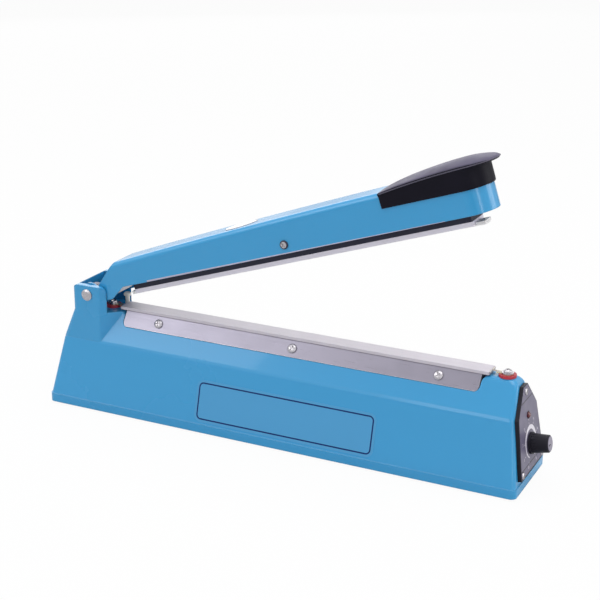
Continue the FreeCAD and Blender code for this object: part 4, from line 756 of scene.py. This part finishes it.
# fine bead along the grip's rim, which rises towards the tip; its paler colour is a painted highlight along
# the rim's edge
beadLook = {
    "rear": 289.5, "half": 21.0, "radius": 0.42, "rise": 1.5, "sides": 8, "straight": 12, "round": 24,
    "rimRear": 287.5, "edgeRear": 28.4, "edgeFront": 34.8,
}
nose = gripLook["tip"] - beadLook["half"]
straight = []
for step in range(beadLook["straight"] + 1):
    u = beadLook["rear"] + (nose - beadLook["rear"]) * step / beadLook["straight"]
    straight.append((u, -beadLook["half"]))
rim = list(straight)
for step in range(1, beadLook["round"]):
    angle = math.radians(-90 + 180 * step / beadLook["round"])
    rim.append(around(beadLook["half"], angle, nose))
rim += [(u, -y) for u, y in reversed(straight)]
rows = []
for index, (u, y) in enumerate(rim):
    before, after = rim[max(index - 1, 0)], rim[min(index + 1, len(rim) - 1)]
    along = Vector((after[0] - before[0], after[1] - before[1])).normalized()
    part = (u - beadLook["rimRear"]) / (gripLook["tip"] - beadLook["rimRear"])
    edge = beadLook["edgeRear"] + (beadLook["edgeFront"] - beadLook["edgeRear"]) * part * (2 - part)
    rows.append([
        (u + along.y * out, y - along.x * out, edge + beadLook["rise"] + up)
        for out, up in disc(0.0, 0.0, beadLook["radius"], beadLook["sides"])
    ])
addPiece("gripBeadHighlight", lofted(rows), [gripRimHighlight], "arm", armFrame, sharp=70.0)
print("grip made")

# cover cloth: the CAD sheet with more stations along it and the slight waves of a stretched cloth
clothLook = {"stations": 90, "wave": 0.05, "pitch": 26.0, "quick": 2.1, "slow": 0.7, "topBand": 0.5}
cover = bmesh.new()
cover.from_mesh(nodes["ptfe_cloth"].data)
bmesh.ops.remove_doubles(cover, verts=cover.verts, dist=1e-6)
low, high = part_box("ptfe_cloth")
for step in range(1, clothLook["stations"]):
    x = low.x + (high.x - low.x) * step / clothLook["stations"]
    bmesh.ops.bisect_plane(
        cover, geom=cover.verts[:] + cover.edges[:] + cover.faces[:], plane_co=(x, 0, 0), plane_no=(1, 0, 0),
    )
for vertex in cover.verts:
    if vertex.co.z > high.z - clothLook["topBand"] * mm:
        phase = vertex.co.x / mm / clothLook["pitch"]
        swell = math.sin(phase * clothLook["quick"]) * math.sin(phase * clothLook["slow"] + 1)
        vertex.co.z += clothLook["wave"] * mm * (swell - 1)
coverArea = sum(face.calc_area() for face in cover.faces) / 2
clothCover = addPiece(
    "clothCover", cover, [clothCoat], "base", Matrix.Identity(4), replaces=("ptfe_cloth",),
)

# silicone strip in the pressure bar, with soft lower edges
siliconeLook = {
    "rear": 33.6, "front": 361.0, "half": 6.5, "low": -10.6, "high": -7.6, "soften": 0.8,
    "stations": 30, "arc": 4,
}
soften = siliconeLook["soften"]
arcSide = siliconeLook["half"] - soften
arcHeight = siliconeLook["low"] + soften
profile = []
for side, first in ((1, 360), (-1, 270)):
    for step in range(siliconeLook["arc"] + 1):
        angle = math.radians(first - 90 * step / siliconeLook["arc"])
        profile.append(around(soften, angle, side * arcSide, arcHeight))
profile += [(-siliconeLook["half"], siliconeLook["high"]), (siliconeLook["half"], siliconeLook["high"])]
rows = []
for step in range(siliconeLook["stations"] + 1):
    share = step / siliconeLook["stations"]
    u = siliconeLook["rear"] + (siliconeLook["front"] - siliconeLook["rear"]) * share
    rows.append([(u, y, v) for y, v in profile])
addPiece(
    "siliconeFace", lofted(rows), [siliconeRubber], "pressure_bar", armFrame,
    replaces=("silicone_strip",),
)
print("cloth and silicone made")

# bare lower edge of the arm's two sides, thinner towards the grip; its pale colour is partly bare metal and
# partly a painted highlight along the edge
lipLook = {
    "rear": 60.0, "front": 335.0, "low": -0.5, "side": 18.5, "proud": 0.2, "sink": 0.05,
    "rearHeight": 1.5, "frontHeight": 0.4, "stations": 12, "arc": 6,
}
# pale strip on the sides' lower edge, partly bare metal and partly painted highlight
lipMetalAndHighlight = finish(
    "lipMetalAndHighlight", srgb(178, 170, 188), drift=(60.0, 0.06), rough=(0.36, 0.5), grain=(300.0, 0.1),
    stretch=(1, 8, 8), turn=armTurn, fixed={"Metallic": 0.3},
)
lip = bmesh.new()
for side in (1, -1):
    rows = []
    for step in range(lipLook["stations"] + 1):
        share = step / lipLook["stations"]
        u = lipLook["rear"] + (lipLook["front"] - lipLook["rear"]) * share
        height = lipLook["rearHeight"] + (lipLook["frontHeight"] - lipLook["rearHeight"]) * share
        row = []
        for turn in range(lipLook["arc"] + 1):
            bulge = lipLook["proud"] * math.sin(math.pi * turn / lipLook["arc"])
            y = side * (lipLook["side"] - lipLook["sink"] + bulge)
            row.append((u, y, lipLook["low"] + height * turn / lipLook["arc"]))
        rows.append(row)
    lofted(rows, lip)
addPiece("armLipHighlight", lip, [lipMetalAndHighlight], "arm", armFrame)

# bare bordered foil on the lower front face, which goes up from its foot along its rise
foilLook = {
    "middle": 13.5, "halfLength": 79.0, "low": 3.8, "high": 35.3, "margin": 2.0, "line": 1.2, "corner": 4.2,
    "thick": 0.12, "gap": 0.02, "foot": (0, -37.4, 7.5), "rise": (0, 12.9, 50.5),
}
foilFace = finish(
    "foilFace", srgb(72, 152, 202), drift=(4.0, 0.015), rough=(0.27, 0.33), roughSize=8.0,
    grain=(500.0, 0.05), fixed={"Specular IOR Level": 0.3, "Coat Weight": 0.2, "Coat Roughness": 0.1},
)
foilLine = finish(
    "foilLine", srgb(22, 42, 98), drift=(60.0, 0.06), rough=(0.3, 0.4), grain=(700.0, 0.05),
    fixed={"Specular IOR Level": 0.15},
)
faceUp = Vector(foilLook["rise"]).normalized()
faceOut = Vector((0, -faceUp.z, faceUp.y))
halfHigh = (foilLook["high"] - foilLook["low"]) / 2
foilMiddle = Vector(foilLook["foot"]) + faceUp * (foilLook["low"] + halfHigh)
foilMiddle.x += foilLook["middle"]
loops = []
for inset, height in (
    (-foilLook["margin"], 0.0), (-foilLook["margin"], foilLook["thick"]),
    (0.0, foilLook["thick"]), (foilLook["line"], foilLook["thick"]),
):
    points = roundedOutline(foilLook["halfLength"] - inset, halfHigh - inset, foilLook["corner"] - inset)
    loops.append((points, height))
addPiece(
    "frontFoil", layeredPlate(loops, [0, 0, 1, 0]), [foilFace, foilLine], "base",
    baseFrame @ facing(foilMiddle + faceOut * foilLook["gap"], faceOut, (1, 0, 0)),
)

# bare oval plate on top of the arm; its steps are (inset, height) from the rim inwards
ovalLook = {
    "middle": 153.5, "halfLength": 14.8, "halfWidth": 12.0, "sink": 0.02, "points": 64,
    "steps": ((0.0, 0.0), (0.1, 0.35), (0.4, 0.5), (0.9, 0.5), (1.2, 0.4)),
}
armTopLook = {"rear": 31.0, "front": 372.2, "rearHeight": 21.4, "rise": 10.8, "bow": 1.75}
ovalFace = finish(
    "ovalFace", srgb(240, 240, 242), drift=(40.0, 0.03), rough=(0.2, 0.3), grain=(600.0, 0.05),
)
ovalRim = finish(
    "ovalRim", srgb(150, 150, 158), drift=(80.0, 0.06), rough=(0.25, 0.36), grain=(700.0, 0.06),
)


def armTop(u):
    # height of the arm's bowed top over its length
    share = (u - armTopLook["rear"]) / (armTopLook["front"] - armTopLook["rear"])
    straight = armTopLook["rearHeight"] + armTopLook["rise"] * share
    return straight + armTopLook["bow"] * 4 * share * (1 - share)


loops = []
for inset, height in ovalLook["steps"]:
    halfLength, halfWidth = ovalLook["halfLength"] - inset, ovalLook["halfWidth"] - inset
    points = [(halfLength * x, halfWidth * y) for x, y in disc(0.0, 0.0, 1.0, ovalLook["points"])]
    loops.append((points, height))
slope = Vector((1, 0, (armTop(ovalLook["middle"] + 1) - armTop(ovalLook["middle"] - 1)) / 2))
upward = Vector((-slope.z, 0, 1))
ovalSpot = Vector((ovalLook["middle"], 0, armTop(ovalLook["middle"]))) - upward * ovalLook["sink"]
addPiece(
    "topPlate", layeredPlate(loops, [1, 1, 1, 0, 0]), [ovalFace, ovalRim], "arm",
    armFrame @ facing(ovalSpot, upward, slope),
)

# printed foil on the end panel, with a dial round the knob
panelLook = {
    "low": 12.0, "lowHalf": 27.7, "shoulder": 58.2, "shoulderHalf": 22.0, "top": 78.6, "topHalf": 4.8,
    "thick": 0.12, "gap": 0.02,
    "knob": 32.0, "knobHole": 7.2, "lamp": 55.0, "lampHole": 3.3, "screwHole": 2.9,
    "dividers": (17.9, 67.8), "dividerWidth": 0.7, "dividerInset": 0.3, "inkSink": 0.02, "inkProud": 0.03,
}
dialLook = {
    "inner": 11.0, "thin": 0.8, "wide": 3.4, "steps": 60, "sweep": 150.0, "ticks": 9,
    "tickFrom": 15.2, "tickTo": 16.8, "tickWidth": 0.5, "numberRing": 19.2, "numberSize": 3.4,
    "numberDepth": 0.015, "numberLift": 0.012,
}
panelFace = finish(
    "panelFace", srgb(98, 93, 116), drift=(60.0, 0.04), rough=(0.34, 0.46), roughSize=120.0,
    grain=(1200.0, 0.1),
)
panelInk = finish(
    "panelInk", srgb(226, 222, 232), drift=(120.0, 0.03), rough=(0.36, 0.46), grain=(900.0, 0.05),
)
panelLine = finish(
    "panelLine", srgb(34, 32, 40), drift=(120.0, 0.06), rough=(0.36, 0.46), grain=(900.0, 0.05),
    fixed={"Specular IOR Level": 0.2},
)
# x across, y up the panel, z outward
panelFront = panelFrame @ facing((panelFaceOut + panelLook["gap"], 0, 0), (1, 0, 0), (0, 1, 0))
inkLow = panelLook["thick"] - panelLook["inkSink"]
inkTop = panelLook["thick"] + panelLook["inkProud"]

halfPanel = [
    (panelLook["lowHalf"], panelLook["low"]),
    (panelLook["shoulderHalf"], panelLook["shoulder"]),
    (panelLook["topHalf"], panelLook["top"]),
]
foil = prism(halfPanel + [(-x, y) for x, y in reversed(halfPanel)], 0, panelLook["thick"])
holeSpots = [(0, panelLook["knob"], panelLook["knobHole"]), (0, panelLook["lamp"], panelLook["lampHole"])]
holeSpots += [(x, y, panelLook["screwHole"]) for x, y, _ in panelSeats]
holes = bmesh.new()
for x, y, radius in holeSpots:
    addMesh(holes, prism(disc(x, y, radius), -1, 1))
addPiece("panelFoil", carved(foil, holes), [panelFace], "base", panelFront)


def panelHalf(height):
    for (wide, low), (narrow, high) in zip(halfPanel, halfPanel[1:]):
        if height <= high:
            return wide + (narrow - wide) * (height - low) / (high - low)
    return panelLook["topHalf"]


def bar(x0, y0, x1, y1, width):
    along = Vector((x1 - x0, y1 - y0)).normalized()
    side = Vector((-along.y, along.x)) * width / 2
    return [
        (x0 + side.x, y0 + side.y), (x0 - side.x, y0 - side.y),
        (x1 - side.x, y1 - side.y), (x1 + side.x, y1 + side.y),
    ]


lines = bmesh.new()
for height in panelLook["dividers"]:
    half = panelHalf(height) - panelLook["dividerInset"]
    addMesh(lines, prism(bar(-half, height, half, height, panelLook["dividerWidth"]), inkLow, inkTop))
addPiece("panelDividers", lines, [panelLine], "base", panelFront)


def dialOuter(step):
    # full width from the right-hand end to the top, then thinner towards the lower left
    share = min(1.0, 2 * (1 - step / dialLook["steps"]))
    return dialLook["inner"] + dialLook["thin"] + (dialLook["wide"] - dialLook["thin"]) * share


def ringAngle(step):
    return math.radians(90 - dialLook["sweep"] + 2 * dialLook["sweep"] * step / dialLook["steps"])


def tickAngle(tick):
    return math.radians(90 + dialLook["sweep"] - 2 * dialLook["sweep"] * tick / (dialLook["ticks"] - 1))


dial = bmesh.new()
for step in range(dialLook["steps"]):
    quad = [
        around(radius, ringAngle(place), 0.0, panelLook["knob"]) for radius, place in (
            (dialLook["inner"], step), (dialOuter(step), step),
            (dialOuter(step + 1), step + 1), (dialLook["inner"], step + 1),
        )
    ]
    addMesh(dial, prism(quad, inkLow, inkTop))
for tick in range(dialLook["ticks"]):
    ends = [
        around(radius, tickAngle(tick), 0.0, panelLook["knob"])
        for radius in (dialLook["tickFrom"], dialLook["tickTo"])
    ]
    addMesh(dial, prism(bar(*ends[0], *ends[1], dialLook["tickWidth"]), inkLow, inkTop))
bmesh.ops.remove_doubles(dial, verts=dial.verts, dist=1e-5)
addPiece("dialRing", dial, [panelInk], "base", panelFront)

# plain numbers at the ticks
for tick in range(dialLook["ticks"]):
    curve = bpy.data.curves.new("dialNumber%d" % tick, "FONT")
    curve.body = str(tick)
    curve.size = dialLook["numberSize"]
    curve.align_x = "CENTER"
    curve.align_y = "CENTER"
    curve.extrude = dialLook["numberDepth"]
    written = bpy.data.objects.new("dialNumberText", curve)
    scene.collection.objects.link(written)
    bpy.context.view_layer.update()
    figure = bpy.data.meshes.new_from_object(written.evaluated_get(bpy.context.evaluated_depsgraph_get()))
    number = bmesh.new()
    number.from_mesh(figure)
    bpy.data.meshes.remove(figure)
    bpy.data.objects.remove(written)
    bpy.data.curves.remove(curve)
    bmesh.ops.remove_doubles(number, verts=number.verts, dist=1e-5)
    x, y = around(dialLook["numberRing"], tickAngle(tick), 0.0, panelLook["knob"])
    number.transform(Matrix.Translation((x, y, panelLook["thick"] + dialLook["numberLift"])))
    addPiece("dialNumber%d" % tick, number, [panelInk], "base", panelFront)

# pointer mark on the knob's cap, towards its rim
capLook = {
    "out": 19.1, "shift": -2.6, "length": 4.0, "width": 0.9, "corner": 0.4,
    "thick": 0.12, "bevel": 0.1, "dome": 0.03,
}
capTop = capLook["thick"] + capLook["dome"]
loops = []
for inset, height in ((0.0, 0.0), (0.0, capLook["thick"]), (capLook["bevel"], capTop)):
    halfLength, halfWidth = capLook["length"] / 2 - inset, capLook["width"] / 2 - inset
    points = roundedOutline(halfLength, halfWidth, capLook["corner"] - inset)
    loops.append((points, height))
mark = layeredPlate(loops, [0, 0, 0])
mark.transform(Matrix.Translation((capLook["shift"], 0, 0)))
capFront = panelFrame @ facing((capLook["out"], 0, panelLook["knob"]), (1, 0, 0), (0, 1, 0))
addPiece("capMark", mark, [panelLine], "knob", capFront)
print("foils, dial and marks made")

# camera of the photograph: its spot and lens in mm, its angles in degrees, its near limit in m
view = {
    "spot": (470.42, -966.25, 488.1), "azimuth": 25.726, "elevation": 18.986, "roll": 0.548,
    "lens": 84.04, "sensor": 36.0, "near": 0.01,
}
azimuth, elevation, roll = [math.radians(view[key]) for key in ("azimuth", "elevation", "roll")]
back = Vector((
    math.sin(azimuth) * math.cos(elevation), -math.cos(azimuth) * math.cos(elevation), math.sin(elevation),
))
level = Vector((math.cos(azimuth), math.sin(azimuth), 0))
rise = back.cross(level)
right = level * math.cos(roll) + rise * math.sin(roll)
up = rise * math.cos(roll) - level * math.sin(roll)
lens = bpy.data.cameras.new("photoCamera")
lens.lens = view["lens"]
lens.sensor_width = view["sensor"]
lens.clip_start = view["near"]
camera = bpy.data.objects.new("photoCamera", lens)
aimed = Matrix((right, up, back)).transposed().to_4x4()
camera.matrix_world = Matrix.Translation(Vector(view["spot"]) * mm) @ aimed
scene.collection.objects.link(camera)
scene.camera = camera

# studio: pale floor, white surround and soft boxes as (name, spot, aim, size, power)
studio = {
    "sky": 0.36, "floorSize": 60.0, "floorColour": (0.76, 0.76, 0.76, 1.0), "floorGlow": 0.95,
    "boxes": [
        ("topBox", (0.1, 0.1, 2.0), (0.0, 0.0, 0.1), (2.4, 1.8), 33.0),
        ("leftBox", (-1.5, -1.1, 1.5), (-0.1, 0.0, 0.1), (1.3, 1.0), 10.0),
        ("frontBox", (0.5, -1.9, 0.9), (0.0, 0.0, 0.08), (1.6, 1.0), 1.2),
        ("edgeBox", (-0.95, -1.75, 1.1), (0.0, 0.0, 0.06), (1.6, 0.25), 3.6),
        ("noseBox", (1.7, 0.7, 0.5), (0.1, 0.0, 0.15), (0.9, 1.2), 10.0),
        ("cornerBox", (1.65, -1.3, 0.7), (0.2, 0.0, 0.05), (0.4, 1.0), 4.6),
        ("backBox", (-1.5, 2.0, 0.7), (0.0, 0.0, 0.2), (2.4, 1.2), 10.0),
    ],
}
for name, spot, aim, size, power in studio["boxes"]:
    light = bpy.data.lights.new(name, "AREA")
    light.shape = "RECTANGLE"
    light.size, light.size_y = size
    light.energy = power
    box = bpy.data.objects.new(name, light)
    direction = Vector(aim) - Vector(spot)
    box.matrix_world = Matrix.Translation(spot) @ direction.to_track_quat("-Z", "Y").to_matrix().to_4x4()
    box.visible_camera = False
    scene.collection.objects.link(box)

# full white for rays from the camera, mirrors and glass, and the sky's level for light that bounces
world = bpy.data.worlds.new("whiteSurround")
world.use_nodes = True
scene.world = world
tree = world.node_tree
background = tree.nodes["Background"]
background.inputs["Color"].default_value = (1, 1, 1, 1)
path = tree.nodes.new("ShaderNodeLightPath")
direct = sumOf(tree, path.outputs["Is Camera Ray"], path.outputs["Is Glossy Ray"], "MAXIMUM")
direct = sumOf(tree, direct, path.outputs["Is Transmission Ray"], "MAXIMUM")
extra = sumOf(tree, direct, 1.0 - studio["sky"], "MULTIPLY")
tree.links.new(sumOf(tree, extra, studio["sky"]), background.inputs["Strength"])

# the floor glows for the camera only, and under the glow it is matte and takes the shadow
half = studio["floorSize"] / 2
floorMesh = bmesh.new()
corners = [floorMesh.verts.new((x * half, y * half, 0)) for x, y in ((-1, -1), (1, -1), (1, 1), (-1, 1))]
floorMesh.faces.new(corners)
mesh = bpy.data.meshes.new("studioFloor")
floorMesh.to_mesh(mesh)
floorMesh.free()
floor = bpy.data.objects.new("studioFloor", mesh)
scene.collection.objects.link(floor)
floorPaint = bpy.data.materials.new("studioFloor")
floorPaint.use_nodes = True
tree = floorPaint.node_tree
tree.nodes.remove(tree.nodes["Principled BSDF"])
matte = tree.nodes.new("ShaderNodeBsdfDiffuse")
matte.inputs["Color"].default_value = studio["floorColour"]
glow = tree.nodes.new("ShaderNodeEmission")
glow.inputs["Color"].default_value = (1, 1, 1, 1)
blend = tree.nodes.new("ShaderNodeMixShader")
path = tree.nodes.new("ShaderNodeLightPath")
seen = sumOf(tree, path.outputs["Is Camera Ray"], studio["floorGlow"], "MULTIPLY")
tree.links.new(seen, blend.inputs[0])
tree.links.new(matte.outputs["BSDF"], blend.inputs[1])
tree.links.new(glow.outputs["Emission"], blend.inputs[2])
tree.links.new(blend.outputs["Shader"], tree.nodes["Material Output"].inputs["Surface"])
mesh.materials.append(floorPaint)
print("camera, light and floor set")
